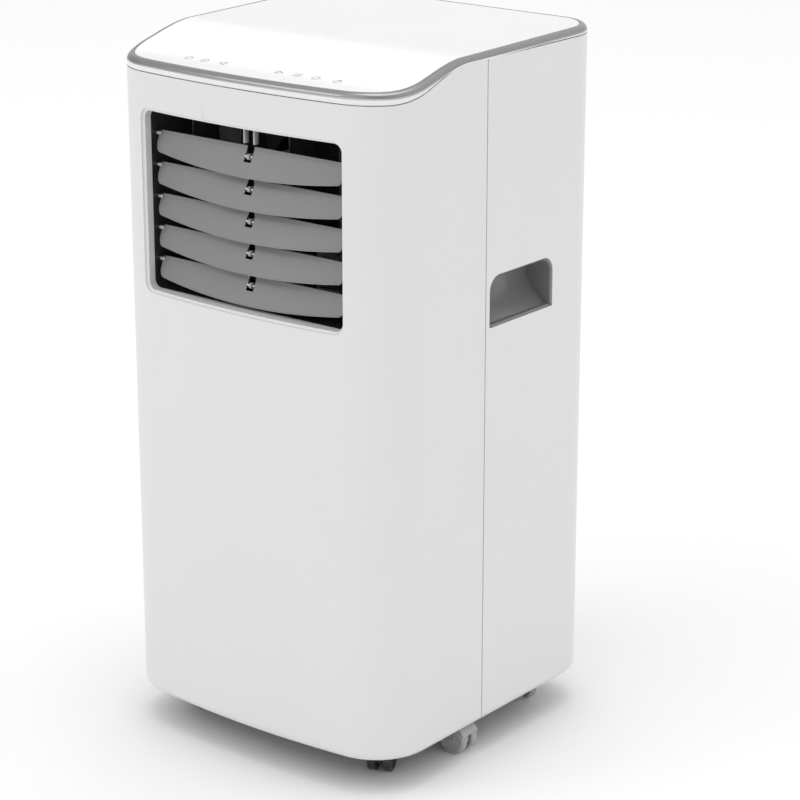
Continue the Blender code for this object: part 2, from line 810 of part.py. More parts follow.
def make_side_rollers():
    """Fixed twin rollers under the middle of each side, with their axles along Y."""
    fork = fork_mesh("fixed_fork", 0.0, materials["light_grey"])
    wheel = wheel_mesh("roller_wheel", materials["wheel_light_grey"])
    for name, side in (("right", 1), ("left", -1)):
        axis = guide(f"side_roller_{name}", (side * roller_x, roller_y, 0), math.radians(90))
        copy_of(fork, f"side_roller_{name}_fork", (0, 0, 0), 0, axis)
        for end, way in (("front", -1), ("back", 1)):
            place = (way * (wheel_gap + wheel_width) / 2, 0, wheel_radius)
            copy_of(wheel, f"side_roller_{name}_wheel_{end}", place, 0, axis)


# ---- machinery ----

def make_partition():
    path = whole_outline(wall + 0.004)
    plate = prism("partition", path, "Z", partition_z, partition_z + partition_thickness)
    cut(plate, rods("pipe_holes", [((x, pipe_y, partition_z - 0.02), (x, pipe_y, partition_z + 0.02))
                                   for x in (pipe_x, pipe_x + 0.016)], 0.006, 8))
    return finish(plate, materials["dark_plastic"])


def blower_wheel(name, radius, depth, blades, place):
    """Squirrel-cage wheel about its shaft, which lies along Y: back disc, blades and front ring."""
    wheel = rod(name, (0, depth / 2 - 0.003, 0), (0, depth / 2, 0), radius, 20, place)
    shape = bmesh.new()
    for i in range(blades):
        turn = Matrix.Rotation(2 * math.pi * i / blades, 4, "Y")
        shift = Matrix.Translation((radius - 0.009, 0, 0)) @ Matrix.Rotation(math.radians(35), 4, "Y")
        size = Matrix.Diagonal((0.015, depth - 0.002, 0.0015, 1))
        bmesh.ops.create_cube(shape, size=1, matrix=turn @ shift @ size)
    vanes = object_from(name + "_blades", shape, place)
    ring = rod(name + "_ring", (0, -depth / 2, 0), (0, -depth / 2 + 0.004, 0), radius, 20, place)
    cut(ring, rod(name + "_ring_hole", (0, -depth, 0), (0, depth, 0), radius - 0.016, 24, place))
    hub = rod(name + "_hub", (0, depth / 2 - 0.025, 0), (0, depth / 2 - 0.001, 0), 0.012, 10, place)
    join(wheel, vanes, ring, hub)
    cut(wheel, rod(name + "_bore", (0, -depth, 0), (0, depth, 0), 0.0045, 8, place))
    return finish(wheel, materials["black_plastic"])


def scroll(name, low, high, holes, finish_material):
    """A blower housing: a box with a wall all round and the given openings."""
    case = box(name, low, high)
    inner_low = tuple(v + scroll_wall for v in low)
    inner_high = tuple(v - scroll_wall for v in high)
    cut(case, box(name + "_hollow", inner_low, inner_high))
    return finish(cut(case, *holes), finish_material)


def motor(name, place, radius, length, shaft, arms, arm_reach):
    """Motor with its shaft forwards and flat arms to its housing; the front of the can is at place."""
    can = rod(name, (0, 0, 0), (0, length, 0), radius, 18, place)
    join(can, rod(name + "_shaft", (0, -shaft, 0), (0, 0.002, 0), 0.0040, 8, place))
    shape = bmesh.new()
    for i in range(arms):
        turn = Matrix.Rotation(2 * math.pi * i / arms + math.pi / 2, 4, "Y")
        size = Matrix.Diagonal((arm_reach - radius + 0.004, 0.003, 0.010, 1))
        shift = Matrix.Translation(((arm_reach + radius - 0.004) / 2, 0.0015, 0))
        bmesh.ops.create_cube(shape, size=1, matrix=turn @ shift @ size)
    join(can, object_from(name + "_arms", shape, place))
    return finish(can, materials["steel"])


def make_cooling_side():
    """Upper blower: it draws room air through the evaporator and pushes it out of the front."""
    back = 0.040
    half = outlet_half - scroll_inset
    low = (-half, duct_back_y + gap, partition_z + partition_thickness + gap)
    high = (half, back, 0.648)
    inlet = rod("upper_inlet", (0, back - 0.02, fan_z), (0, back + 0.02, fan_z), 0.070, 24)
    mouth = half - 0.008
    outlet = box("upper_outlet", (-mouth, duct_back_y - 0.01, 0.462), (mouth, duct_back_y + 0.01, 0.625))
    scroll("upper_scroll", low, high, [inlet, outlet], materials["foam"])
    blower_wheel("upper_blower", fan_radius, 0.070, 12, (0, -0.018, fan_z))
    motor("upper_motor", (0, back + gap, fan_z), 0.032, 0.050, 0.045, 3, 0.090)
    coil = box("evaporator", (-0.120, cooling_y, partition_z + evaporator_lift),
               (0.120, cooling_y + 0.030, 0.655))
    bends = [((-0.128, cooling_y + y, z), (0.128, cooling_y + y, z)) for y in (0.008, 0.022)
             for z in (0.46, 0.50, 0.58, 0.62)]
    finish(join(coil, rods("evaporator_tubes", bends, 0.004, 6)), materials["coil"])


def make_heat_side():
    """Lower blower: it draws air through the condenser and pushes it out of the round exhaust."""
    low, high = (-0.128, -0.020, 0.110), (0.018, 0.070, 0.262)
    inlet = rod("lower_inlet", (low_fan_x, 0.06, low_fan_z), (low_fan_x, 0.08, low_fan_z), 0.050, 24)
    outlet = box("lower_outlet", (-0.100, -0.010, 0.25), (0.008, 0.060, 0.28))
    scroll("lower_scroll", low, high, [inlet, outlet], materials["foam"])
    blower_wheel("lower_blower", low_fan_radius, 0.060, 12, (low_fan_x, 0.026, low_fan_z))
    motor("lower_motor", (low_fan_x, high[1] + gap, low_fan_z), 0.026, 0.030, 0.030, 3, 0.062)
    elbow_low = (-0.110, -0.018, high[2] + gap)
    elbow_high = (0.080, back_y - 0.0265, partition_z - elbow_headroom)
    mouth = rod("elbow_mouth", (0, elbow_high[1] - 0.02, exhaust_z), (0, elbow_high[1] + 0.02, exhaust_z),
                exhaust_radius - elbow_mouth_rim, 24)
    entry = box("elbow_entry", (-0.100, -0.010, 0.25), (0.008, 0.060, 0.28))
    scroll("exhaust_elbow", elbow_low, elbow_high, [mouth, entry], materials["foam"])
    coil_low = bottom_z + wall + gap + pan_height + pan_clearance
    coil = box("condenser", (-0.120, 0.110, coil_low), (0.120, 0.140, 0.255))
    bends = [((-0.128, y, z), (0.128, y, z)) for y in (0.118, 0.132) for z in (0.09, 0.17, 0.21)]
    finish(join(coil, rods("condenser_tubes", bends, 0.004, 6)), materials["coil"])


def make_compressor():
    foot = bottom_z + wall + gap + 0.0025 + gap
    middle = (compressor_x, compressor_y, foot)
    can = rod("compressor", (0, 0, 0.012), (0, 0, compressor_height), compressor_radius, 20, middle)
    round_edges(can, 0.014, 2, 60)
    join(can, box("compressor_feet", (-0.046, -0.046, 0.010), (0.046, 0.046, 0.016), middle))
    join(can, rods("compressor_mounts", [((x, y, 0), (x, y, 0.012)) for x in (-0.038, 0.038)
                                         for y in (-0.038, 0.038)], 0.007, 8, middle))
    tank = rod("accumulator", (-0.078, -0.020, 0.040), (-0.078, -0.020, 0.150), 0.020, 14, middle)
    round_edges(tank, 0.008, 1, 60)
    join(can, tank, box("accumulator_strap", (-0.065, -0.024, 0.090), (-0.040, -0.016, 0.100), middle))
    finish(can, materials["black_paint"])


def pipe(name, points, radius):
    """A copper pipe through the given points."""
    curve = bpy.data.curves.new(name, "CURVE")
    curve.dimensions = "3D"
    curve.bevel_depth = radius
    curve.bevel_resolution = 1
    curve.use_fill_caps = True
    line = curve.splines.new("POLY")
    line.points.add(len(points) - 1)
    for spot, point in zip(line.points, points):
        spot.co = (*point, 1)
    made = bpy.data.objects.new(name, curve)
    parts.objects.link(made)
    curve.materials.append(materials["copper"])
    return made


def make_pipes():
    """Pipes from the compressor: one to the condenser, one up to the evaporator."""
    top = bottom_z + wall + 2 * gap + 0.0025 + compressor_height
    x, y = compressor_x, compressor_y
    pipe("suction_pipe", [(x + 0.02, y, top + gap), (x + 0.02, y, top + 0.05), (pipe_x, pipe_y, top + 0.08),
                          (pipe_x, pipe_y, 0.50), (pipe_x, cooling_y + 0.002, 0.50),
                          (0.1285 + 0.003, cooling_y + 0.008, 0.50)], 0.0035)
    pipe("discharge_pipe", [(x - 0.015, y, top + gap), (x - 0.015, y, top + 0.03), (x - 0.015, y + 0.055, top + 0.03),
                            (0.1285 + 0.006, y + 0.07, 0.200), (0.1285 + 0.006, 0.118, 0.170),
                            (0.1285, 0.118, 0.170)], 0.003)


# ---- build ----

clear_scene()
parts = collection("portable_air_conditioner")
cutters = collection("cutters")
materials = {
    "casing": material("casing", (0.80, 0.80, 0.80), 0.35),
    "deck": material("deck", (0.84, 0.84, 0.84), 0.50),
    "panel": material("panel", (0.92, 0.92, 0.92), 0.08),
    "silver": material("silver", (0.62, 0.62, 0.63), 0.22, 0.9),
    "louver": material("louver", (0.30, 0.30, 0.30), 0.38, 0.3),
    "light_grey": material("light_grey", (0.45, 0.45, 0.45), 0.35),
    "dark_plastic": material("dark_plastic", (0.13, 0.13, 0.13), 0.45),
    "black_plastic": material("black_plastic", (0.02, 0.02, 0.02), 0.45),
    "wheel_black_plastic": material("wheel_black", (0.015, 0.015, 0.015), 0.5),
    "wheel_light_grey": material("wheel_grey", (0.40, 0.40, 0.40), 0.3),
    "rubber": material("rubber", (0.03, 0.03, 0.03), 0.7),
    "foam": material("foam", (0.75, 0.75, 0.74), 0.9),
    "steel": material("steel", (0.50, 0.50, 0.50), 0.4, 1.0),
    "coil": material("coil", (0.70, 0.71, 0.72), 0.35, 1.0),
    "copper": material("copper", (0.72, 0.36, 0.20), 0.3, 1.0),
    "black_paint": material("black_paint", (0.02, 0.02, 0.022), 0.4),
    "board": material("board", (0.05, 0.22, 0.10), 0.5),
}
make_front_shell()
make_rear_shell()
make_handle_cup("handle_cup_right", 1)
make_handle_cup("handle_cup_left", -1)
make_top_trim()
make_lid()
make_control_board()
make_base_pan()
make_outlet_duct()
make_centre_bracket()
make_louvers()
make_louver_link()
make_vanes()
make_vane_link()
make_grilles()
make_air_filter()
make_exhaust_collar()
make_drain_plug("drain_plug_upper", drain_upper_z)
make_drain_plug("drain_plug_lower", drain_lower_z)
make_cord_gland()
make_casters()
make_side_rollers()
make_partition()
make_cooling_side()
make_heat_side()
make_compressor()
make_pipes()
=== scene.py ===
import json
import math

import bmesh
import bpy
from mathutils import Matrix, Vector

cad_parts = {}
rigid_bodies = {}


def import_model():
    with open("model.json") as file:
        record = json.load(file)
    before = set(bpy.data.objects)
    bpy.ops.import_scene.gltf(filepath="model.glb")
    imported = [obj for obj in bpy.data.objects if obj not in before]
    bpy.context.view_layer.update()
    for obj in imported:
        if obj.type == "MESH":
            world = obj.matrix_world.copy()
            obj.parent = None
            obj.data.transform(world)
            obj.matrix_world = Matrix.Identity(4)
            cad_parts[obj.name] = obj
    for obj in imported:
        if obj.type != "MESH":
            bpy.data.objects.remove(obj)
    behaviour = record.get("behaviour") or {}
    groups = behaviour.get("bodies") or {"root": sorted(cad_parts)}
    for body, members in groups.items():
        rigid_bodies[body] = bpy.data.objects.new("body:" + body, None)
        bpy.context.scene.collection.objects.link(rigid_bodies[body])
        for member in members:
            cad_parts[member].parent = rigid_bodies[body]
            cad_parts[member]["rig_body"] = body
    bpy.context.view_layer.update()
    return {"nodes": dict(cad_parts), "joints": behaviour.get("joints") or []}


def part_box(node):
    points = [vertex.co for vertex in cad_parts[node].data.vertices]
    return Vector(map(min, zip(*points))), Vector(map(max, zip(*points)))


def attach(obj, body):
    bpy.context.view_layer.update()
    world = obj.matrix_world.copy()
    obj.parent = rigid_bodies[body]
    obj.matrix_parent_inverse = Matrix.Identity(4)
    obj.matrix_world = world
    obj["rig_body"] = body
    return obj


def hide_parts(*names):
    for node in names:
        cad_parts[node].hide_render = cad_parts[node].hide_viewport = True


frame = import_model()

nodes = frame["nodes"]
joints = {joint["name"]: joint for joint in frame["joints"]}
print("frame loaded:", len(nodes), "nodes")


# Camera and light

studio = {
    "lens": 120.0, "location": (1.6000, -1.9402, 1.1504), "yaw": 38.574, "tilt": 18.166,
    "clipNear": 0.05, "clipFar": 60,
    "floorSize": 14.0, "floorShade": 0.93, "floorRough": 0.9,
    # sky radiance, then lobes of more or less light: direction, power, sharpness
    "sky": 0.87,
    "lobes": (((0.10, -0.98, 0.35), 0.34, 3.0), ((0.98, -0.10, 0.25), 0.10, 3.0),
              ((-1.0, 0.05, 0.20), -0.34, 2.0), ((0.55, -0.68, 0.80), -0.70, 9.0),
              ((0.0, 0.0, 1.0), 0.30, 1.5)),
    # position, target, width, height, power
    "lamps": {
        "keyLamp": ((-3.6, -4.2, 4.2), (0.0, -0.05, 0.35), 2.6, 2.0, 30),
        "topLamp": ((0.0, 0.2, 6.0), (0.0, 0.0, 0.6), 3.0, 3.0, 50),
    },
}


def makeCamera():
    yaw, tilt = math.radians(studio["yaw"]), math.radians(studio["tilt"])
    ahead = Vector((-math.sin(yaw) * math.cos(tilt), math.cos(yaw) * math.cos(tilt), -math.sin(tilt)))
    data = bpy.data.cameras.new("camera")
    data.lens = studio["lens"]
    data.clip_start, data.clip_end = studio["clipNear"], studio["clipFar"]
    camera = bpy.data.objects.new("camera", data)
    camera.location = studio["location"]
    camera.rotation_euler = ahead.to_track_quat("-Z", "Y").to_euler()
    bpy.context.scene.collection.objects.link(camera)
    bpy.context.scene.camera = camera


def makeLamps():
    for name, (place, target, width, height, power) in studio["lamps"].items():
        data = bpy.data.lights.new(name, "AREA")
        data.shape = "RECTANGLE"
        data.size, data.size_y, data.energy = width, height, power
        lamp = bpy.data.objects.new(name, data)
        lamp.location = place
        lamp.rotation_euler = (Vector(target) - Vector(place)).to_track_quat("-Z", "Y").to_euler()
        bpy.context.scene.collection.objects.link(lamp)


def makeSky():
    # An even white room, a little lighter or darker towards a few fixed directions
    world = bpy.data.worlds.new("studio")
    world.use_nodes = True
    tree = world.node_tree
    background = tree.nodes["Background"]
    background.inputs["Color"].default_value = (1.0, 1.0, 1.0, 1.0)
    facing = tree.nodes.new("ShaderNodeTexCoord")
    total = studio["sky"]
    for direction, power, sharpness in studio["lobes"]:
        lobe = tree.nodes.new("ShaderNodeVectorMath")
        lobe.operation = "DOT_PRODUCT"
        lobe.inputs[1].default_value = Vector(direction).normalized()
        tree.links.new(facing.outputs["Generated"], lobe.inputs[0])
        facingOnly = tree.nodes.new("ShaderNodeMath")
        facingOnly.operation = "MAXIMUM"
        facingOnly.inputs[1].default_value = 0.0
        tree.links.new(lobe.outputs["Value"], facingOnly.inputs[0])
        narrow = tree.nodes.new("ShaderNodeMath")
        narrow.operation = "POWER"
        narrow.inputs[1].default_value = sharpness
        tree.links.new(facingOnly.outputs["Value"], narrow.inputs[0])
        scaled = tree.nodes.new("ShaderNodeMath")
        scaled.operation = "MULTIPLY_ADD"
        scaled.inputs[1].default_value = power
        if isinstance(total, float):
            scaled.inputs[2].default_value = total
        else:
            tree.links.new(total, scaled.inputs[2])
        tree.links.new(narrow.outputs["Value"], scaled.inputs[0])
        total = scaled.outputs["Value"]
    tree.links.new(total, background.inputs["Strength"])
    bpy.context.scene.world = world
    bpy.context.scene.view_settings.view_transform = "Standard"


# Finishes

# colour, a second colour that it wanders to, roughness and how much it varies,
# grain per metre and its depth in metres, metal, clear coat
finishes = {
    "casing": ((0.725, 0.726, 0.727), (0.701, 0.702, 0.703), 0.36, 0.03, 1500, 0.00006, 0.0, 0.06),
    # The next four finishes are one silver trim painted in bands: a white painted highlight, then silver from
    # pale to dark as painted reflection and shade
    "trimPaintedHighlight": ((0.800, 0.801, 0.803), (0.780, 0.781, 0.783), 0.20, 0.02, 700, 0.00002, 0.0, 0.25),
    "deck": ((0.815, 0.816, 0.813), (0.790, 0.791, 0.788), 0.55, 0.04, 1300, 0.00010, 0.0, 0.0),
    "panel": ((0.965, 0.966, 0.968), (0.950, 0.951, 0.953), 0.07, 0.01, 60, 0.00002, 0.0, 0.60),
    "icon": ((0.200, 0.202, 0.206), (0.180, 0.182, 0.186), 0.35, 0.03, 900, 0.00001, 0.0, 0.0),
    "silverPaintedLight": ((0.640, 0.643, 0.648), (0.600, 0.603, 0.608), 0.22, 0.04, 2200, 0.00003, 0.70, 0.0),
    "silverPaintedHalfShade": ((0.470, 0.473, 0.478), (0.430, 0.433, 0.438), 0.22, 0.04, 2200, 0.00003, 0.80, 0.0),
    "silver": ((0.300, 0.302, 0.306), (0.270, 0.272, 0.276), 0.22, 0.04, 2200, 0.00003, 0.85, 0.0),
    "louver": ((0.215, 0.216, 0.218), (0.195, 0.196, 0.198), 0.36, 0.04, 2400, 0.00003, 0.35, 0.0),
    # The louvers' rims: a lighter silver standing in for the highlight along the blade edges, a painted
    # highlight
    "louverPaintedEdgeHighlight": ((0.640, 0.643, 0.648), (0.600, 0.603, 0.608), 0.20, 0.04, 1200, 0.00002, 0.6, 0.0),
    "pinMetal": ((0.720, 0.725, 0.730), (0.650, 0.655, 0.660), 0.22, 0.05, 1200, 0.00002, 1.0, 0.0),
    "lightGrey": ((0.400, 0.404, 0.410), (0.370, 0.374, 0.380), 0.28, 0.03, 1400, 0.00004, 0.0, 0.15),
    "darkPlastic": ((0.200, 0.201, 0.203), (0.170, 0.171, 0.173), 0.24, 0.05, 1500, 0.00005, 0.0, 0.20),
    "panDark": ((0.060, 0.061, 0.063), (0.048, 0.049, 0.051), 0.42, 0.05, 1500, 0.00006, 0.0, 0.0),
    "blackPlastic": ((0.030, 0.030, 0.031), (0.022, 0.022, 0.023), 0.42, 0.06, 1500, 0.00008, 0.0, 0.0),
    "wheelBlack": ((0.018, 0.018, 0.019), (0.026, 0.026, 0.027), 0.38, 0.08, 900, 0.00008, 0.0, 0.10),
    "wheelGrey": ((0.360, 0.364, 0.370), (0.330, 0.334, 0.340), 0.26, 0.05, 900, 0.00004, 0.0, 0.20),
    "rubber": ((0.030, 0.030, 0.031), (0.045, 0.045, 0.046), 0.68, 0.08, 1100, 0.00010, 0.0, 0.0),
    "foam": ((0.700, 0.700, 0.690), (0.600, 0.600, 0.590), 0.88, 0.05, 420, 0.00050, 0.0, 0.0),
    "steel": ((0.520, 0.525, 0.530), (0.460, 0.465, 0.470), 0.36, 0.08, 900, 0.00005, 1.0, 0.0),
    "copper": ((0.700, 0.350, 0.200), (0.560, 0.270, 0.160), 0.30, 0.10, 500, 0.00005, 1.0, 0.0),
    "blackPaint": ((0.022, 0.022, 0.024), (0.030, 0.030, 0.032), 0.34, 0.06, 700, 0.00008, 0.0, 0.20),
    "board": ((0.030, 0.150, 0.060), (0.024, 0.120, 0.050), 0.40, 0.06, 800, 0.00004, 0.0, 0.10),
}


# Noise scale and detail that colour and roughness wander with, and what all finishes share
surface = {"colourNoise": (9.0, 3.0), "roughNoise": (45.0, 4.0), "grainDetail": 2.0,
           "grainBump": 0.35, "coatRough": 0.12}
# Stripes: the wave scale for one stripe to a metre, how much they waver, and their relief
stripes = {"scale": 0.314, "waver": 0.4, "waverScale": 30.0, "bump": 0.8}


def linkNoise(tree, coordinates, scale, detail):
    noise = tree.nodes.new("ShaderNodeTexNoise")
    noise.inputs["Scale"].default_value = scale
    noise.inputs["Detail"].default_value = detail
    tree.links.new(coordinates.outputs["Object"], noise.inputs["Vector"])
    return noise.outputs["Fac"]


def makeFinish(name):
    colour, other, rough, vary, grain, depth, metal, coat = finishes[name]
    made = bpy.data.materials.new(name)
    made.use_nodes = True
    tree = made.node_tree
    shader = tree.nodes["Principled BSDF"]
    shader.inputs["Metallic"].default_value = metal
    shader.inputs["Coat Weight"].default_value = coat
    shader.inputs["Coat Roughness"].default_value = surface["coatRough"]
    coordinates = tree.nodes.new("ShaderNodeTexCoord")
    blend = tree.nodes.new("ShaderNodeMix")
    blend.data_type = "RGBA"
    blend.inputs["A"].default_value = (*colour, 1.0)
    blend.inputs["B"].default_value = (*other, 1.0)
    tree.links.new(linkNoise(tree, coordinates, *surface["colourNoise"]), blend.inputs["Factor"])
    tree.links.new(blend.outputs["Result"], shader.inputs["Base Color"])
    spread = tree.nodes.new("ShaderNodeMapRange")
    spread.inputs["To Min"].default_value = rough - vary
    spread.inputs["To Max"].default_value = rough + vary
    tree.links.new(linkNoise(tree, coordinates, *surface["roughNoise"]), spread.inputs["Value"])
    tree.links.new(spread.outputs["Result"], shader.inputs["Roughness"])
    bump = tree.nodes.new("ShaderNodeBump")
    bump.inputs["Strength"].default_value = surface["grainBump"]
    bump.inputs["Distance"].default_value = depth
    tree.links.new(linkNoise(tree, coordinates, grain, surface["grainDetail"]), bump.inputs["Height"])
    tree.links.new(bump.outputs["Normal"], shader.inputs["Normal"])
    return made


def makeStripes(name, colour, dark, perMetre, direction, depth, rough, metal):
    # Thin upright fins or woven threads: a wave pattern for colour and relief
    made = bpy.data.materials.new(name)
    made.use_nodes = True
    tree = made.node_tree
    shader = tree.nodes["Principled BSDF"]
    shader.inputs["Roughness"].default_value = rough
    shader.inputs["Metallic"].default_value = metal
    coordinates = tree.nodes.new("ShaderNodeTexCoord")
    wave = tree.nodes.new("ShaderNodeTexWave")
    wave.bands_direction = direction
    wave.inputs["Scale"].default_value = perMetre * stripes["scale"]
    wave.inputs["Distortion"].default_value = stripes["waver"]
    wave.inputs["Detail Scale"].default_value = stripes["waverScale"]
    tree.links.new(coordinates.outputs["Object"], wave.inputs["Vector"])
    blend = tree.nodes.new("ShaderNodeMix")
    blend.data_type = "RGBA"
    blend.inputs["A"].default_value = (*dark, 1.0)
    blend.inputs["B"].default_value = (*colour, 1.0)
    tree.links.new(wave.outputs["Fac"], blend.inputs["Factor"])
    tree.links.new(blend.outputs["Result"], shader.inputs["Base Color"])
    bump = tree.nodes.new("ShaderNodeBump")
    bump.inputs["Strength"].default_value = stripes["bump"]
    bump.inputs["Distance"].default_value = depth
    tree.links.new(wave.outputs["Fac"], bump.inputs["Height"])
    tree.links.new(bump.outputs["Normal"], shader.inputs["Normal"])
    return made


makeCamera()
makeLamps()
makeSky()
finish = {name: makeFinish(name) for name in finishes}
finish["net"] = makeStripes("net", (0.055, 0.056, 0.058), (0.008, 0.008, 0.008), 900, "DIAGONAL",
                            0.0005, 0.55, 0.0)
finish["coil"] = makeStripes("coil", (0.74, 0.75, 0.77), (0.16, 0.16, 0.17), 700, "X", 0.0012, 0.32, 0.9)
print("camera, lamps and", len(finish), "finishes")


# Making pieces

def newPiece(name, bm, body, materials, replaced=(), wall=0.0, edge=0.0, edgeSteps=2,
             facing=True, sharp=35):
    if facing:
        bmesh.ops.recalc_face_normals(bm, faces=bm.faces)
    mesh = bpy.data.meshes.new(name)
    bm.to_mesh(mesh)
    bm.free()
    for each in materials:
        mesh.materials.append(finish[each])
    mesh.shade_smooth()
    made = bpy.data.objects.new(name, mesh)
    bpy.context.scene.collection.objects.link(made)
    if wall:
        thicken = made.modifiers.new("wall", "SOLIDIFY")
        thicken.thickness = abs(wall)
        thicken.offset = -1 if wall > 0 else 1
    if edge:
        rounding = made.modifiers.new("edges", "BEVEL")
        rounding.width = edge
        rounding.segments = edgeSteps
        rounding.limit_method = "ANGLE"
        rounding.angle_limit = math.radians(sharp)
        normals = made.modifiers.new("normals", "WEIGHTED_NORMAL")
        normals.keep_sharp = True
    else:
        mesh.set_sharp_from_angle(angle=math.radians(sharp))
    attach(made, body)
    if replaced:
        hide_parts(*replaced)
    return made


def softBox(bm, low, high, radius, steps=2, turn=None):
    low, high = Vector(low), Vector(high)
    place = Matrix.Translation((low + high) / 2)
    if turn:
        place = place @ turn
    made = bmesh.ops.create_cube(bm, size=1, matrix=place @ Matrix.Diagonal((*(high - low), 1)))
    edges = list({edge for vert in made["verts"] for edge in vert.link_edges})
    bmesh.ops.bevel(bm, geom=edges, offset=radius, segments=steps, profile=0.5,
                    affect="EDGES", material=-1, clamp_overlap=True)


def lathe(bm, profile, centre, axis, across, steps=48):
    # Turns a closed profile of (along, radius) points about an axis through the centre
    centre, axis, across = Vector(centre), Vector(axis), Vector(across)
    spots = [bm.verts.new(centre + axis * along + across * radius) for along, radius in profile]
    ring = [bm.edges.new((a, b)) for a, b in zip(spots, spots[1:] + spots[:1])]
    bmesh.ops.spin(bm, geom=spots + ring, cent=centre, axis=axis, angle=2 * math.pi,
                   steps=steps, use_merge=True)


def rod(bm, start, end, radius, steps=24):
    start, end = Vector(start), Vector(end)
    turn = (end - start).to_track_quat("Z", "Y").to_matrix().to_4x4()
    bmesh.ops.create_cone(bm, cap_ends=True, segments=steps, radius1=radius, radius2=radius,
                          depth=(end - start).length, matrix=Matrix.Translation((start + end) / 2) @ turn)


# Casing outline

shellLow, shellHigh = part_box("front_shell")
rearLow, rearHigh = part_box("rear_shell")
plan = {
    "half": shellHigh.x, "frontY": shellLow.y, "backY": rearHigh.y, "seamY": -0.022,
    "bow": 0.0145, "frontCorner": 0.060, "rearCorner": 0.045,
    "seamFront": 0.6665, "seamRear": 0.6910, "lidFront": 0.6780, "lidStep": 0.6965, "lidBack": 0.7000,
    "stepFront": -0.150, "stepRear": -0.050,
}
bowRadius = (plan["half"] ** 2 + plan["bow"] ** 2) / (2 * plan["bow"])
bowY = plan["frontY"] + bowRadius
cornerX = plan["half"] - plan["frontCorner"]
cornerY = bowY - math.sqrt((bowRadius - plan["frontCorner"]) ** 2 - cornerX ** 2)
bowSwing = math.asin(cornerX / (bowRadius - plan["frontCorner"]))
rearX = plan["half"] - plan["rearCorner"]
rearY = plan["backY"] - plan["rearCorner"]


def ease(share):
    share = min(1.0, max(0.0, share))
    return share * share * (3 - 2 * share)


def stepShare(y):
    return ease((y - plan["stepFront"]) / (plan["stepRear"] - plan["stepFront"]))


def seamHeight(y):
    return plan["seamFront"] + (plan["seamRear"] - plan["seamFront"]) * stepShare(y)


def lidHeight(y):
    if y > plan["stepRear"]:
        rise = (y - plan["stepRear"]) / (plan["backY"] - plan["stepRear"])
        return plan["lidStep"] + (plan["lidBack"] - plan["lidStep"]) * rise
    return plan["lidFront"] + (plan["lidStep"] - plan["lidFront"]) * stepShare(y)


def outwardAt(point):
    # Level direction out of the casing at a point on or inside its outline
    side = math.copysign(1.0, point.x)
    if point.y > rearY:
        if abs(point.x) <= rearX + 1e-6:
            return Vector((0, 1, 0))
        return Vector((point.x - side * rearX, point.y - rearY, 0)).normalized()
    if point.y >= cornerY:
        return Vector((side, 0, 0))
    if abs(math.atan2(point.x, bowY - point.y)) <= bowSwing + 1e-6:
        return Vector((point.x, point.y - bowY, 0)).normalized()
    return Vector((point.x - side * cornerX, point.y - cornerY, 0)).normalized()


def goStraight(bm, vert, move, steps):
    for _ in range(steps):
        vert = bmesh.ops.extrude_vert_indiv(bm, verts=[vert])["verts"][0]
        vert.co += Vector(move) / steps
    return vert


def goRound(bm, vert, centre, angle, steps):
    turned = bmesh.ops.spin(bm, geom=[vert], cent=(*centre, 0), axis=(0, 0, 1), angle=angle, steps=steps)
    return [item for item in turned["geom_last"] if isinstance(item, bmesh.types.BMVert)][0]


def frontOutline(bm, startY):
    vert = bm.verts.new((plan["half"], startY, 0))
    vert = goStraight(bm, vert, (0, cornerY - startY, 0), 26)
    vert = goRound(bm, vert, (cornerX, cornerY), bowSwing - math.pi / 2, 30)
    goRound(bm, vert, (0, bowY), -bowSwing, 26)


def rearOutline(bm, startY):
    vert = bm.verts.new((plan["half"], startY, 0))
    vert = goStraight(bm, vert, (0, rearY - startY, 0), 8)
    vert = goRound(bm, vert, (rearX, rearY), math.pi / 2, 24)
    goStraight(bm, vert, (-rearX, 0, 0), 6)


def mirrored(bm):
    bmesh.ops.mirror(bm, geom=list(bm.verts) + list(bm.edges) + list(bm.faces), axis="X", merge_dist=1e-6)
    bmesh.ops.remove_doubles(bm, verts=bm.verts, dist=1e-6)


def placeRing(verts, inset, height, before=0.0):
    for vert in verts:
        vert.co -= outwardAt(vert.co) * (inset - before)
        vert.co.z = height(vert.co.y)


def raiseWall(bm, rings):
    # rings: distance in from the outline, height at a depth, and material of the strip below it
    edges = list(bm.edges)
    before = rings[0][0]
    placeRing(bm.verts, before, rings[0][1])
    for inset, height, paint in rings[1:]:
        grown = bmesh.ops.extrude_edge_only(bm, edges=edges)["geom"]
        edges = [item for item in grown if isinstance(item, bmesh.types.BMEdge)]
        verts = [item for item in grown if isinstance(item, bmesh.types.BMVert)]
        placeRing(verts, inset, height, before)
        for face in {face for edge in edges for face in edge.link_faces}:
            face.material_index = paint
        before = inset


def roundedPoints(low, high, radii, steps=8):
    # Corner points of a rectangle with its own radius at each corner, anticlockwise from the upper right
    corners = ((high[0], high[1]), (low[0], high[1]), (low[0], low[1]), (high[0], low[1]))
    points = []
    for number, ((a, b), radius) in enumerate(zip(corners, radii)):
        centre = (a - math.copysign(radius, a - (low[0] + high[0]) / 2),
                  b - math.copysign(radius, b - (low[1] + high[1]) / 2))
        for step in range(steps + 1):
            angle = math.radians(90 * number + 90 * step / steps)
            points.append((centre[0] + radius * math.cos(angle), centre[1] + radius * math.sin(angle)))
    return points


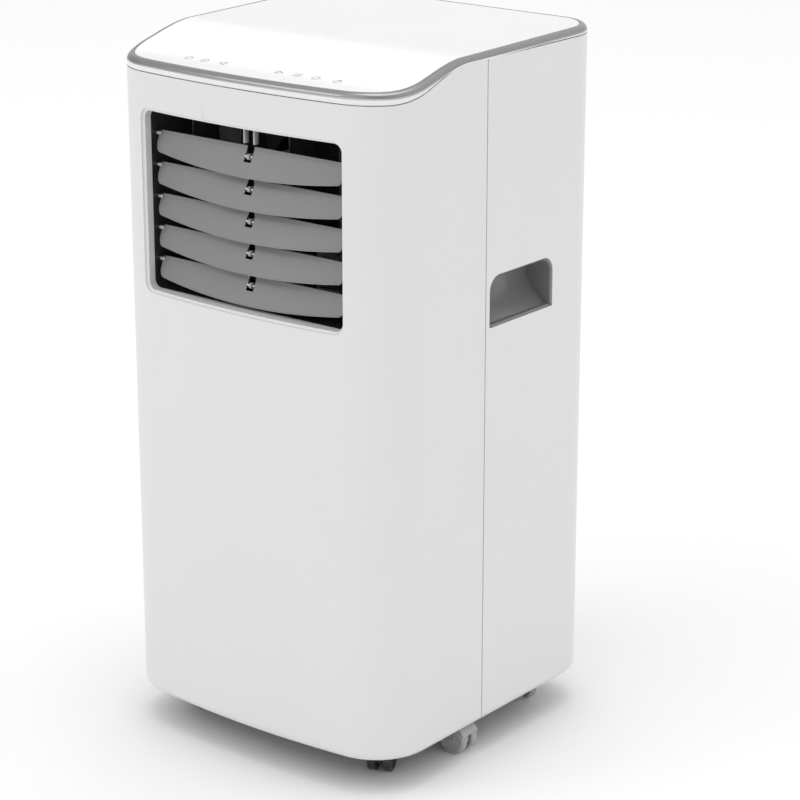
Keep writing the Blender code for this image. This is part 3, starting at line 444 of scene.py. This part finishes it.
def openHole(bm, onWall, points, level):
    # Cuts a convex hole through a wall, whose two directions level gives, and returns the hole's edges
    across, up = Vector(level[0]), Vector(level[1])
    lows = [min(p[i] for p in points) for i in (0, 1)]
    highs = [max(p[i] for p in points) for i in (0, 1)]
    planes = [((lows[0], 0), (-1, 0)), ((highs[0], 0), (1, 0)),
              ((0, lows[1]), (0, -1)), ((0, highs[1]), (0, 1))]
    for a, b in zip(points, points[1:] + points[:1]):
        if abs(a[0] - b[0]) > 1e-6 and abs(a[1] - b[1]) > 1e-6:
            planes.append((a, (b[1] - a[1], a[0] - b[0])))
    inside = [face for face in bm.faces if onWall(face.calc_center_median())]
    for spot, out in planes:
        spot = across * spot[0] + up * spot[1]
        out = (across * out[0] + up * out[1]).normalized()
        parts = set(inside)
        for face in inside:
            parts.update(face.edges)
            parts.update(face.verts)
        cut = bmesh.ops.bisect_plane(bm, geom=list(parts), dist=1e-7, plane_co=spot, plane_no=out)
        inside = [item for item in cut["geom"] if isinstance(item, bmesh.types.BMFace)
                  and (item.calc_center_median() - spot).dot(out) < 0]
    rim = [edge for edge in {edge for face in inside for edge in face.edges}
           if sum(face in inside for face in edge.link_faces) == 1]
    bmesh.ops.delete(bm, geom=inside, context="FACES")
    return rim


def turnLipIn(bm, rim, core, radius, endY):
    # Rolls a hole's edge inwards over a quarter round, then runs it straight back to a depth.
    # core is the hole's rectangle of corner centres, from which the way out is measured
    (lowX, lowZ), (highX, highZ) = core
    before = 0.0
    for step in range(1, 7):
        grown = bmesh.ops.extrude_edge_only(bm, edges=rim)["geom"]
        rim = [item for item in grown if isinstance(item, bmesh.types.BMEdge)]
        turn = math.pi / 2 * min(step, 5) / 5
        for vert in [item for item in grown if isinstance(item, bmesh.types.BMVert)]:
            heart = Vector((min(highX, max(lowX, vert.co.x)), vert.co.y, min(highZ, max(lowZ, vert.co.z))))
            out = (vert.co - heart).normalized()
            vert.co -= out * radius * ((1 - math.cos(turn)) - before)
            last = math.sin(math.pi / 2 * (step - 1) / 5)
            vert.co.y = endY if step == 6 else vert.co.y + radius * (math.sin(turn) - last)
        before = 1 - math.cos(turn)


# Shells

shell = {
    "wall": 0.0028, "foot": 0.010, "lip": 0.014, "seamGap": 0.0012, "edge": 0.0006,
    "outletHalf": 0.120, "outletLow": 0.4565, "outletHigh": 0.6305, "outletRound": 0.008,
    "outletLip": 0.0028, "lipEnd": -0.1595,
    "gripFront": -0.016, "gripBack": 0.085, "gripLow": 0.4350, "gripHigh": 0.4850, "gripRound": 0.015,
    "exhaustRadius": 0.066, "exhaustZ": 0.345, "grilleHalf": 0.125,
    "doorLow": 0.455, "doorHigh": 0.655, "grilleLow": 0.075, "grilleHigh": 0.255,
    "plugX": -0.105, "plugRadius": 0.009, "plugHeights": (0.300, 0.056),
    "glandX": 0.130, "glandZ": 0.300, "glandRadius": 0.008,
}


def shellRings():
    foot, bottom = shell["foot"], shellLow.z
    rings = [(shell["lip"], lambda y: bottom, 0)]
    for angle in range(0, 91, 10):
        turn = math.radians(angle)
        rings.append((foot * (1 - math.sin(turn)), lambda y, t=turn: bottom + foot * (1 - math.cos(t)), 0))
    return rings + [(0.0, seamHeight, 0)]


def circlePoints(centre, radius, steps=40):
    turns = [2 * math.pi * (step + 0.5) / steps for step in range(steps)]
    return [(centre[0] + radius * math.cos(turn), centre[1] + radius * math.sin(turn)) for turn in turns]


def makeFrontShell():
    bm = bmesh.new()
    frontOutline(bm, plan["seamY"] - shell["seamGap"] / 2)
    mirrored(bm)
    raiseWall(bm, shellRings())
    half, low, high = shell["outletHalf"], shell["outletLow"], shell["outletHigh"]
    radius, lip = shell["outletRound"], shell["outletLip"]
    points = roundedPoints((-half - lip, low - lip), (half + lip, high + lip), [radius + lip] * 4)
    rim = openHole(bm, lambda p: p.y < -0.14 and p.z > 0.06, points, ((1, 0, 0), (0, 0, 1)))
    core = ((-half + radius, low + radius), (half - radius, high - radius))
    turnLipIn(bm, rim, core, lip, shell["lipEnd"])
    newPiece("frontShell", bm, "casing", ["casing"], ["front_shell"],
             wall=shell["wall"], edge=shell["edge"], sharp=50)


def makeRearShell():
    bm = bmesh.new()
    rearOutline(bm, plan["seamY"] + shell["seamGap"] / 2)
    mirrored(bm)
    raiseWall(bm, shellRings())
    grip = roundedPoints((shell["gripFront"], shell["gripLow"]), (shell["gripBack"], shell["gripHigh"]),
                         [shell["gripRound"], shell["gripRound"], 0.0015, 0.0015])
    for side in (1, -1):
        openHole(bm, lambda p, s=side: p.x * s > plan["half"] - 0.001 and p.z > 0.06,
                 grip, ((0, 1, 0), (0, 0, 1)))
    wide = shell["grilleHalf"]
    holes = [roundedPoints((-wide, shell[low]), (wide, shell[high]), [0.004] * 4)
             for low, high in (("doorLow", "doorHigh"), ("grilleLow", "grilleHigh"))]
    holes.append(circlePoints((0, shell["exhaustZ"]), shell["exhaustRadius"], 56))
    holes += [circlePoints((shell["plugX"], z), shell["plugRadius"], 24) for z in shell["plugHeights"]]
    holes.append(circlePoints((shell["glandX"], shell["glandZ"]), shell["glandRadius"], 24))
    for points in holes:
        openHole(bm, lambda p: p.y > plan["backY"] - 0.001 and p.z > 0.045, points, ((1, 0, 0), (0, 0, 1)))
    newPiece("rearShell", bm, "casing", ["casing"], ["rear_shell"],
             wall=shell["wall"], edge=shell["edge"], sharp=50)


makeFrontShell()
makeRearShell()
print("shells made")


# Top trim, deck and control panel

top = {
    "trimGap": 0.0009, "trimRound": 0.0062, "trimWidth": 0.0075, "paintedLightBandsUpTo": (0, 8, 16), "seat": 0.0028,
    "ledge": 0.0040, "skirt": 0.0033, "skirtWall": 0.0020, "skirtDrop": 0.010,
    "lidGap": 0.0003, "lidThickness": 0.0023, "border": -0.039, "stripe": 0.0025, "edge": 0.0006,
}


def wholeOutline(bm):
    frontOutline(bm, plan["seamY"])
    rearOutline(bm, plan["seamY"])
    mirrored(bm)


def makeTrim():
    bm = bmesh.new()
    wholeOutline(bm)
    radius, width, seat = top["trimRound"], top["trimWidth"], top["seat"]
    rings = [(0.0, lambda y: seamHeight(y) + top["trimGap"] + 0.0004, 0),
             (0.0, lambda y: lidHeight(y) - radius, 0)]
    for angle in range(5, 91, 5):
        turn = math.radians(angle)
        # The rounding takes its painted bands by angle: a painted highlight on the upright side, then ever
        # darker silver up the rounding as painted shade and reflection
        paint = sum(angle > limit for limit in top["paintedLightBandsUpTo"])
        rings.append((radius * (1 - math.cos(turn)),
                      lambda y, t=turn: lidHeight(y) - radius * (1 - math.sin(t)), paint))
    rings += [
        (width - 0.0003, lidHeight, 3),
        (width, lambda y: lidHeight(y) - 0.0003, 3),
        (width, lambda y: lidHeight(y) - seat, 3),
        (width + top["ledge"], lambda y: lidHeight(y) - seat, 3),
        (width + top["ledge"], lambda y: lidHeight(y) - seat - 0.002, 3),
        (top["skirt"] + top["skirtWall"], lambda y: lidHeight(y) - seat - 0.002, 3),
        (top["skirt"] + top["skirtWall"], lambda y: seamHeight(y) - top["skirtDrop"], 3),
        (top["skirt"], lambda y: seamHeight(y) - top["skirtDrop"], 3),
        (top["skirt"], lambda y: seamHeight(y) + top["trimGap"], 0),
        (0.0004, lambda y: seamHeight(y) + top["trimGap"], 0),
        (0.0, lambda y: seamHeight(y) + top["trimGap"] + 0.0004, 0),
    ]
    raiseWall(bm, rings)
    bmesh.ops.remove_doubles(bm, verts=bm.verts, dist=1e-6)
    newPiece("topTrim", bm, "casing", ["trimPaintedHighlight", "silverPaintedLight", "silverPaintedHalfShade", "silver"],
             ["top_trim"], sharp=40)


def makeLid(name, keepFront, paint, node):
    bm = bmesh.new()
    wholeOutline(bm)
    placeRing(bm.verts, top["trimWidth"] + top["lidGap"], lambda y: 0.0)
    bmesh.ops.contextual_create(bm, geom=list(bm.edges))
    cutAt = top["border"] + (-top["lidGap"] if keepFront else top["lidGap"])
    everything = list(bm.verts) + list(bm.edges) + list(bm.faces)
    bmesh.ops.bisect_plane(bm, geom=everything, dist=1e-7, plane_co=(0, cutAt, 0), plane_no=(0, 1, 0),
                           clear_outer=keepFront, clear_inner=not keepFront)
    if keepFront:
        steps = int((cutAt - plan["stepFront"]) / top["stripe"])
        for step in range(-3, steps):
            everything = list(bm.verts) + list(bm.edges) + list(bm.faces)
            spot = (0, plan["stepFront"] + step * top["stripe"], 0)
            bmesh.ops.bisect_plane(bm, geom=everything, dist=1e-7, plane_co=spot, plane_no=(0, 1, 0))
    for vert in bm.verts:
        vert.co.z = lidHeight(vert.co.y)
    for face in bm.faces:
        if face.normal.z < 0:
            face.normal_flip()
    newPiece(name, bm, "casing", [paint], [node], wall=top["lidThickness"], edge=top["edge"],
             edgeSteps=3, facing=False, sharp=50)


makeTrim()
makeLid("topDeck", False, "deck", "top_deck")
makeLid("controlPanel", True, "panel", "control_panel")


# Touch marks: faint outlines in a row along the front of the panel

marks = {"y": -0.139, "size": 0.0052, "line": 0.00080, "lift": 0.00006,
         "row": ((-0.088, "round"), (-0.068, "drop"), (-0.045, "up"), (0.023, "down"),
                 (0.045, "lines"), (0.067, "round"), (0.092, "power"))}


def ringMark(bm, x, sides, size, turn):
    spin = Matrix.Rotation(math.radians(turn), 4, "Z")
    made = bmesh.ops.create_circle(bm, cap_ends=True, segments=sides, radius=size,
                                   matrix=Matrix.Translation((x, marks["y"], 0)) @ spin)
    face = made["verts"][0].link_faces[0]
    bmesh.ops.inset_individual(bm, faces=[face], thickness=marks["line"], use_even_offset=True)
    bmesh.ops.delete(bm, geom=[face], context="FACES")


def barMark(bm, x, y, width, height):
    size = Matrix.Diagonal((width / 2, height / 2, 1, 1))
    bmesh.ops.create_grid(bm, x_segments=1, y_segments=1, size=1, matrix=Matrix.Translation((x, y, 0)) @ size)


def makeMarks():
    bm = bmesh.new()
    size, line = marks["size"], marks["line"]
    for x, kind in marks["row"]:
        if kind in ("up", "down"):
            ringMark(bm, x, 3, size, 90 if kind == "up" else -90)
        elif kind == "lines":
            for row in (-1, 0, 1):
                barMark(bm, x, marks["y"] + row * size * 0.6, size * 1.7, line)
        else:
            ringMark(bm, x, 28, size * 0.8, 0)
            if kind == "drop":
                barMark(bm, x, marks["y"], line, size * 0.7)
            if kind == "power":
                barMark(bm, x, marks["y"] + size * 0.55, line, size * 0.9)
    for vert in bm.verts:
        vert.co.z = lidHeight(vert.co.y) + marks["lift"]
    for face in bm.faces:
        face.normal_update()
        if face.normal.z < 0:
            face.normal_flip()
    newPiece("touchMarks", bm, "casing", ["icon"], wall=marks["lift"] * 1.5, facing=False)


makeMarks()
print("top made")


# Louvers

louver = {
    "count": 5, "half": 0.1145, "above": 0.0030, "below": 0.0245, "endBelow": 0.0168, "lean": 0.0070,
    "bow": 0.0055, "thickness": 0.0020, "notchHalf": 0.0045, "notchDepth": 0.0112, "narrowing": 0.0050,
    "pin": 0.0019, "collar": 0.0030, "reach": 0.1222, "linkPin": 0.0013, "linkDrop": 0.0065, "edge": 0.0007,
}


def bladeSpot(u, share):
    # u from end to end, share from the top edge to the bottom edge
    drop = -louver["above"] + share * (louver["above"] + louver["below"])
    low = max(0.0, drop / louver["below"])
    half = louver["half"] - louver["narrowing"] * low ** 5
    shorter = (louver["below"] - louver["endBelow"]) * u * u * low
    bow = louver["bow"] * (1 - u * u) * low
    return Vector((u * half, -louver["lean"] * drop / louver["below"] - bow, shorter - drop))


def crossPinSpot():
    return Vector((0, -louver["lean"] * louver["linkDrop"] / louver["below"] - 0.0008, -louver["linkDrop"]))


def makeLouver(number):
    pivot = Vector(joints[f"louver_{number}_tilt"]["pos_m"])
    bm = bmesh.new()
    bmesh.ops.create_grid(bm, x_segments=72, y_segments=16, size=1)
    for vert in bm.verts:
        vert.co = bladeSpot(vert.co.x, (1 - vert.co.y) / 2)
    notch = louver["notchHalf"]
    for spot, out in (((notch, 0, 0), (1, 0, 0)), ((-notch, 0, 0), (-1, 0, 0)),
                      ((0, 0, -louver["notchDepth"]), (0, 0, 1))):
        everything = list(bm.verts) + list(bm.edges) + list(bm.faces)
        bmesh.ops.bisect_plane(bm, geom=everything, dist=1e-7, plane_co=spot, plane_no=out)
    gone = [face for face in bm.faces if abs(face.calc_center_median().x) < notch
            and face.calc_center_median().z > -louver["notchDepth"]]
    bmesh.ops.delete(bm, geom=gone, context="FACES")
    bmesh.ops.translate(bm, verts=bm.verts, vec=pivot)
    blade = newPiece(f"louverBlade{number}", bm, f"louver_{number}", ["louver", "louverPaintedEdgeHighlight"],
                     [f"louver_{number}"], edge=louver["edge"], edgeSteps=2, sharp=50)
    thicken = blade.modifiers.new("wall", "SOLIDIFY")
    thicken.thickness = louver["thickness"]
    thicken.offset = 0
    # The rims take the second finish, a painted highlight
    thicken.material_offset_rim = 1
    blade.modifiers.move(len(blade.modifiers) - 1, 0)
    bm = bmesh.new()
    pin, collar, reach = louver["pin"], louver["collar"], louver["reach"]
    start = louver["half"] - 0.004
    for side in (1, -1):
        profile = [(start, 0.0002), (start, collar), (start + 0.0058, collar),
                   (start + 0.0062, collar - 0.0005), (start + 0.0062, pin), (reach, pin), (reach, 0.0002)]
        lathe(bm, profile, pivot, (side, 0, 0), (0, 0, 1), 24)
    cross = pivot + crossPinSpot()
    reachOut = Vector((notch + 0.0018, 0, 0))
    rod(bm, cross - reachOut, cross + reachOut, louver["linkPin"], 20)
    newPiece(f"louverPins{number}", bm, f"louver_{number}", ["pinMetal"], sharp=40)


def makeLouverLink():
    low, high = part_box("louver_link")
    bm = bmesh.new()
    softBox(bm, (low.x, high.y - 0.0030, low.z), high, 0.0006)
    for number in range(1, louver["count"] + 1):
        centre = Vector(joints[f"louver_{number}_tilt"]["pos_m"]) + crossPinSpot()
        half, inner, outer = high.x, louver["linkPin"] + 0.0003, louver["linkPin"] + 0.0016
        profile = [(-half, inner), (-half, outer - 0.0003), (-half + 0.0003, outer),
                   (half - 0.0003, outer), (half, outer - 0.0003), (half, inner)]
        lathe(bm, profile, centre, (1, 0, 0), (0, 0, 1), 28)
        softBox(bm, (-half + 0.0003, centre.y + inner + 0.0004, centre.z - 0.0014),
                (half - 0.0003, high.y - 0.0020, centre.z + 0.0014), 0.0004)
    newPiece("louverLink", bm, "louver_link", ["lightGrey"], ["louver_link"], sharp=40)


def makeBracket():
    low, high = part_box("centre_bracket")
    bm = bmesh.new()
    softBox(bm, (low.x, low.y, high.z - 0.0020), high, 0.0005)
    for x in (-0.006, 0.006):
        softBox(bm, (x - 0.0011, low.y + 0.0002, low.z),
                (x + 0.0011, high.y - 0.0002, high.z - 0.0006), 0.0005)
    newPiece("centreBracket", bm, "casing", ["lightGrey"], ["centre_bracket"], sharp=40)


for number in range(1, louver["count"] + 1):
    makeLouver(number)
makeLouverLink()
makeBracket()
print("louvers made")


# Grips

grip = {"depth": 0.0288, "wall": 0.0013, "inset": 0.0007, "fit": 0.0004, "edge": 0.0007, "draft": 0.0010,
        "sweep": 0.030, "sweepSteps": 12, "lowerRound": 0.0012}


def sweepDepth(height):
    # How deep the back wall lies at a height above the grip's lower edge: it rolls out towards the bottom
    share = min(1.0, max(0.0, height / grip["sweep"]))
    return grip["depth"] * (0.16 + 0.84 * math.sin(share * math.pi / 2))


def makeGrip(name, side, node):
    bm = bmesh.new()
    fit, edge = grip["fit"], grip["edge"]
    low = (shell["gripFront"] + fit, shell["gripLow"] + fit)
    high = (shell["gripBack"] - fit, shell["gripHigh"] - fit)
    upper, lower = shell["gripRound"] - fit, grip["lowerRound"]
    points = roundedPoints(low, high, [upper, upper, lower, lower], 10)
    x = side * (plan["half"] - grip["inset"])
    face = bm.faces.new([bm.verts.new((x, y, z)) for y, z in points])
    face.normal_update()
    if face.normal.x * side < 0:
        face.normal_flip()
    for thickness, depth in ((edge * 0.3, 0.0), (edge * 0.4, -edge * 0.2),
                             (edge * 0.3, -edge * 0.8), (grip["draft"], -edge)):
        bmesh.ops.inset_individual(bm, faces=[face], thickness=thickness, depth=depth, use_even_offset=True)
    # The back wall, cut in level strips that then go in to the sweep's depth
    rim = list(face.edges)
    grown = bmesh.ops.extrude_face_region(bm, geom=[face])["geom"]
    bmesh.ops.delete(bm, geom=[face], context="FACES_KEEP_BOUNDARY")
    back = [item for item in grown if isinstance(item, bmesh.types.BMFace)]
    for step in range(1, grip["sweepSteps"] + 4):
        spot = (0, 0, low[1] + grip["sweep"] * step / grip["sweepSteps"])
        parts = set(back)
        for each in back:
            parts.update(each.edges)
            parts.update(each.verts)
        cut = bmesh.ops.bisect_plane(bm, geom=list(parts), dist=1e-7, plane_co=spot, plane_no=(0, 0, 1))
        back = [item for item in cut["geom"] if isinstance(item, bmesh.types.BMFace)]
    for vert in {vert for each in back for vert in each.verts}:
        vert.co.x = x - side * sweepDepth(vert.co.z - low[1])
    newPiece(name, bm, "casing", ["darkPlastic"], [node], wall=grip["wall"],
             edge=0.0008, edgeSteps=3, facing=False, sharp=50)


makeGrip("gripRight", 1, "handle_cup_right")
makeGrip("gripLeft", -1, "handle_cup_left")
print("grips made")


# Casters and side rollers

wheel = {"radius": 0.0145, "width": 0.0085, "gap": 0.0070, "axle": 0.0022, "trail": 0.0080,
         "hoodGap": 0.0008, "hoodWall": 0.0018, "top": 0.0325, "seat": 0.0070,
         "stem": 0.0030, "stemTop": 0.051,
         "tread": 0.0030, "hub": 0.0022, "hoodTurn": 130}
casters = {
    "caster_front_right": (25, "blackPlastic", "wheelBlack", "black_plastic", "wheel_black"),
    "caster_front_left": (-20, "blackPlastic", "wheelBlack", "black_plastic", "wheel_black"),
    "caster_rear_right": (70, "lightGrey", "wheelGrey", "light_grey", "wheel_grey"),
    "caster_rear_left": (110, "lightGrey", "wheelGrey", "light_grey", "wheel_grey"),
}


def wheelProfile():
    half, radius, axle = wheel["width"] / 2, wheel["radius"], wheel["axle"]
    rim, hub = radius - wheel["tread"], axle + wheel["hub"]
    return [(-half, axle), (-half, hub), (-half + 0.0010, hub + 0.0006), (-half + 0.0010, rim - 0.0006),
            (-half, rim), (-half, radius - 0.0014), (-half + 0.0004, radius - 0.0004),
            (-half + 0.0014, radius),
            (half - 0.0014, radius), (half - 0.0004, radius - 0.0004), (half, radius - 0.0014), (half, rim),
            (half - 0.0010, rim - 0.0006), (half - 0.0010, hub + 0.0006), (half, hub), (half, axle)]


def makeTwinWheels(name, place, body, paint, replaced, trail):
    bm = bmesh.new()
    for way in (-1, 1):
        centre = (way * (wheel["gap"] + wheel["width"]) / 2, trail, wheel["radius"])
        lathe(bm, wheelProfile(), centre, (1, 0, 0), (0, 0, 1), 56)
    bm.transform(place)
    newPiece(name, bm, body, [paint], replaced, sharp=40)


def makeFork(name, place, body, paint, replaced, trail):
    bm = bmesh.new()
    reach = wheel["gap"] / 2 + wheel["width"]
    inner = wheel["radius"] + wheel["hoodGap"]
    outer = inner + wheel["hoodWall"]
    centre = Vector((0, trail, wheel["radius"]))
    start = Matrix.Rotation(math.radians(-wheel["hoodTurn"] / 2), 4, "X")
    corners = [(-reach, inner), (-reach, outer - 0.0006), (-reach + 0.0006, outer),
               (reach - 0.0006, outer), (reach, outer - 0.0006), (reach, inner)]
    hood = bm.faces.new([bm.verts.new(centre + start @ Vector((x, 0, r))) for x, r in corners])
    everything = [hood] + list(hood.edges) + list(hood.verts)
    bmesh.ops.spin(bm, geom=everything, cent=centre, axis=(1, 0, 0),
                   angle=math.radians(wheel["hoodTurn"]), steps=26)
    web = wheel["gap"] / 2 - 0.0006
    softBox(bm, (-web, trail - 0.0115, wheel["radius"] - 0.0035),
            (web, trail + 0.0090, wheel["top"] - 0.0040), 0.0015, 3)
    softBox(bm, (-web, -0.0062, wheel["top"] - 0.0100),
            (web, trail + 0.0060, wheel["top"] - 0.0012), 0.0010, 2)
    seat = wheel["seat"]
    lathe(bm, [(0.0, 0.0002), (0.0, seat - 0.0006), (0.0006, seat), (0.0030, seat), (0.0030, 0.0002)],
          (0, 0, wheel["top"] - 0.0030), (0, 0, 1), (1, 0, 0), 32)
    rod(bm, (0, 0, wheel["top"] - 0.001), (0, 0, wheel["stemTop"]), wheel["stem"], 16)
    rod(bm, (-reach - 0.0006, trail, wheel["radius"]), (reach + 0.0006, trail, wheel["radius"]), 0.0019, 20)
    bm.transform(place)
    newPiece(name, bm, body, [paint], replaced, sharp=40)


def makeCasters():
    for name, (heading, forkPaint, wheelPaint, forkSlot, wheelSlot) in casters.items():
        spot = joints[name + "_swivel"]["pos_m"]
        place = Matrix.Translation((spot[0], spot[1], 0)) @ Matrix.Rotation(math.radians(heading), 4, "Z")
        title = "".join(word.capitalize() if i else word for i, word in enumerate(name.split("_")))
        makeFork(title + "Fork", place, name, forkPaint, [name + "_fork"], wheel["trail"])
        makeTwinWheels(title + "Wheels", place, name + "_wheels", wheelPaint,
                       [name + "_wheel_inner", name + "_wheel_outer"], wheel["trail"])
    for side in ("right", "left"):
        spot = joints[f"side_roller_{side}_roll"]["pos_m"]
        place = Matrix.Translation((spot[0], spot[1], 0)) @ Matrix.Rotation(math.radians(90), 4, "Z")
        makeFork(f"sideRoller{side.capitalize()}Fork", place, "casing", "lightGrey",
                 [f"side_roller_{side}_fork"], 0.0)
        makeTwinWheels(f"sideRoller{side.capitalize()}Wheels", place,
                       f"side_roller_{side}_wheels", "wheelGrey",
                       [f"side_roller_{side}_wheel_{end}" for end in ("front", "back")], 0.0)


makeCasters()
print("casters made")


# Rear panels, exhaust and plugs

rear = {"border": 0.0080, "middle": 0.0030, "bar": 0.0040,
        "round": 0.0040, "innerRound": 0.0012, "edge": 0.0008,
        "slatDepth": 0.0060, "slatLean": 24, "doorRows": 13, "grilleRows": 12,
        "netInset": 0.0060, "netThickness": 0.0012, "lugs": 3}


def makeSlattedPanel(name, node, body, rows):
    # A frame with level slats that lean down and out, and an upright bar in the middle
    low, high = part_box(node)
    bm = bmesh.new()
    border, bar, middle = rear["border"], rear["bar"], rear["middle"]
    outer = roundedPoints((low.x, low.z), (high.x, high.z), [rear["round"]] * 4, 6)
    inner = roundedPoints((low.x + border, low.z + border), (high.x - border, high.z - border),
                          [rear["innerRound"]] * 4, 6)
    loops = []
    for points in (outer, inner):
        spots = [bm.verts.new((x, high.y, z)) for x, z in points]
        loops += [bm.edges.new((a, b)) for a, b in zip(spots, spots[1:] + spots[:1])]
    for face in bmesh.ops.bridge_loops(bm, edges=loops)["faces"]:
        face.normal_update()
        if face.normal.y < 0:
            face.normal_flip()
    newPiece(name + "Frame", bm, body, ["casing"], [node], wall=high.y - low.y,
             edge=rear["edge"], edgeSteps=3, facing=False, sharp=50)
    bm = bmesh.new()
    pitch = (high.z - low.z - 2 * border + bar) / rows
    deep = min(rear["slatDepth"], high.y - low.y - 0.001)
    lean = Matrix.Rotation(math.radians(-rear["slatLean"]), 4, "X")
    for row in range(1, rows):
        z = low.z + border + row * pitch - bar / 2
        for start, end in ((low.x + border - 0.0006, -middle + 0.0004),
                           (middle - 0.0004, high.x - border + 0.0006)):
            softBox(bm, (start, high.y - 0.0012 - deep, z - bar * 0.36),
                    (end, high.y - 0.0012, z + bar * 0.36),
                    0.0008, 2, lean)
    softBox(bm, (-middle, low.y + 0.0004, low.z + border - 0.0010),
            (middle, high.y - 0.0008, high.z - border + 0.0010), 0.0008)
    newPiece(name + "Slats", bm, body, ["casing"], sharp=50)


def makeNet():
    low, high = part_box("air_filter")
    inset = rear["netInset"]
    middle = (low.y + high.y) / 2 - 0.0004
    bm = bmesh.new()
    softBox(bm, (low.x + inset, middle, low.z + inset),
            (high.x - inset, middle + rear["netThickness"], high.z - inset), 0.0003)
    newPiece("filterNet", bm, nodes["air_filter"]["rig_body"], ["net"])


def makeCollar():
    low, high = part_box("exhaust_collar")
    centre = Vector((0, 0, (low.z + high.z) / 2))
    outer = shell["exhaustRadius"] - 0.0003
    inner, flange = outer - 0.0050, (high.x - low.x) / 2
    wallY = plan["backY"]
    profile = [(low.y, inner + 0.0006), (low.y, outer - 0.0004), (low.y + 0.0004, outer),
               (wallY + 0.0003, outer),
               (wallY + 0.0003, flange - 0.0004), (wallY + 0.0007, flange), (wallY + 0.0022, flange),
               (wallY + 0.0030, flange - 0.0008), (wallY + 0.0033, flange - 0.0022),
               (wallY + 0.0036, outer + 0.0003),
               (wallY + 0.0060, outer), (high.y - 0.0012, outer), (high.y - 0.0003, outer - 0.0006),
               (high.y, outer - 0.0018), (high.y, inner + 0.0016), (high.y - 0.0006, inner + 0.0004),
               (high.y - 0.0020, inner), (wallY - 0.0040, inner), (wallY - 0.0044, inner + 0.0006)]
    bm = bmesh.new()
    lathe(bm, profile, centre, (0, 1, 0), (0, 0, 1), 96)
    for turn in range(rear["lugs"]):
        # Bayonet lugs that the hose's adapter locks on to
        spin = Matrix.Rotation(math.radians(360 / rear["lugs"] * turn + 90), 4, "Y")
        spin = Matrix.Translation(centre) @ spin @ Matrix.Translation(-centre)
        before = set(bm.verts)
        softBox(bm, (-0.007, wallY + 0.0068, centre.z + inner - 0.0018),
                (0.007, wallY + 0.0092, centre.z + inner + 0.0010), 0.0006)
        bmesh.ops.transform(bm, matrix=spin, verts=[vert for vert in bm.verts if vert not in before])
    newPiece("exhaustCollar", bm, "casing", ["casing"], ["exhaust_collar"], sharp=40)


def makePlug(name, node, body):
    low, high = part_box(node)
    centre = Vector(((low.x + high.x) / 2, plan["backY"], (low.z + high.z) / 2))
    head, shank = (high.x - low.x) / 2, shell["plugRadius"] - 0.0006
    tail = low.y - plan["backY"]
    profile = [(tail, 0.0002), (tail, shank - 0.0010), (tail + 0.0010, shank),
               (0.0003, shank), (0.0003, head - 0.0004),
               (0.0007, head), (0.0024, head), (0.0034, head - 0.0008), (0.0040, head - 0.0024),
               (0.0036, head * 0.55),
               (0.0034, 0.0002)]
    bm = bmesh.new()
    lathe(bm, profile, centre, (0, 1, 0), (0, 0, 1), 40)
    softBox(bm, (centre.x - 0.0019, centre.y + 0.0025, centre.z - 0.0058),
            (centre.x + 0.0019, high.y - 0.0001, centre.z + 0.0058), 0.0012, 3)
    newPiece(name, bm, body, ["rubber"], [node], sharp=40)


def makeGland():
    low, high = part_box("cord_gland")
    centre = Vector((shell["glandX"], plan["backY"], shell["glandZ"]))
    collar, shank = (high.x - low.x) / 2, shell["glandRadius"] - 0.0003
    tail, nose = low.y - plan["backY"], high.y - plan["backY"]
    profile = [(tail, 0.0037), (tail, shank - 0.0006), (tail + 0.0008, shank),
               (0.0003, shank), (0.0003, collar - 0.0003),
               (0.0006, collar), (0.0022, collar), (0.0030, collar - 0.0008), (0.0032, shank - 0.0006),
               (nose - 0.0010, shank - 0.0016), (nose - 0.0003, shank - 0.0020),
               (nose, shank - 0.0028), (nose, 0.0037)]
    bm = bmesh.new()
    lathe(bm, profile, centre, (0, 1, 0), (0, 0, 1), 40)
    newPiece("cordGland", bm, "casing", ["rubber"], ["cord_gland"], sharp=40)


makeSlattedPanel("filterDoor", "filter_door", "filter_door", rear["doorRows"])
makeSlattedPanel("lowerGrille", "lower_grille", "casing", rear["grilleRows"])
makeNet()
makeCollar()
makePlug("drainPlugUpper", "drain_plug_upper", "drain_plug_upper")
makePlug("drainPlugLower", "drain_plug_lower", "drain_plug_lower")
makeGland()
print("rear made")


# Carried-over nodes

carried = {
    "base_pan": "panDark", "outlet_duct": "blackPlastic", "vane_1": "blackPlastic", "vane_2": "blackPlastic",
    "vane_3": "blackPlastic", "vane_4": "blackPlastic", "vane_link": "blackPlastic",
    "air_filter": "blackPlastic",
    "control_board": "board",
    "partition": "panDark", "upper_scroll": "foam", "lower_scroll": "foam", "exhaust_elbow": "foam",
    "upper_blower": "blackPlastic", "lower_blower": "blackPlastic",
    "upper_motor": "steel", "lower_motor": "steel",
    "evaporator": "coil", "condenser": "coil", "compressor": "blackPaint",
    "suction_pipe": "copper", "discharge_pipe": "copper",
}
for node, paint in carried.items():
    nodes[node].data.materials.clear()
    nodes[node].data.materials.append(finish[paint])
print("carried-over nodes painted")


# Floor

def makeFloor():
    bm = bmesh.new()
    bmesh.ops.create_grid(bm, x_segments=1, y_segments=1, size=studio["floorSize"])
    mesh = bpy.data.meshes.new("floor")
    bm.to_mesh(mesh)
    bm.free()
    paint = bpy.data.materials.new("paleFloor")
    paint.use_nodes = True
    shader = paint.node_tree.nodes["Principled BSDF"]
    shader.inputs["Base Color"].default_value = (*[studio["floorShade"]] * 3, 1.0)
    shader.inputs["Roughness"].default_value = studio["floorRough"]
    mesh.materials.append(paint)
    floor = bpy.data.objects.new("floor", mesh)
    bpy.context.scene.collection.objects.link(floor)


makeFloor()
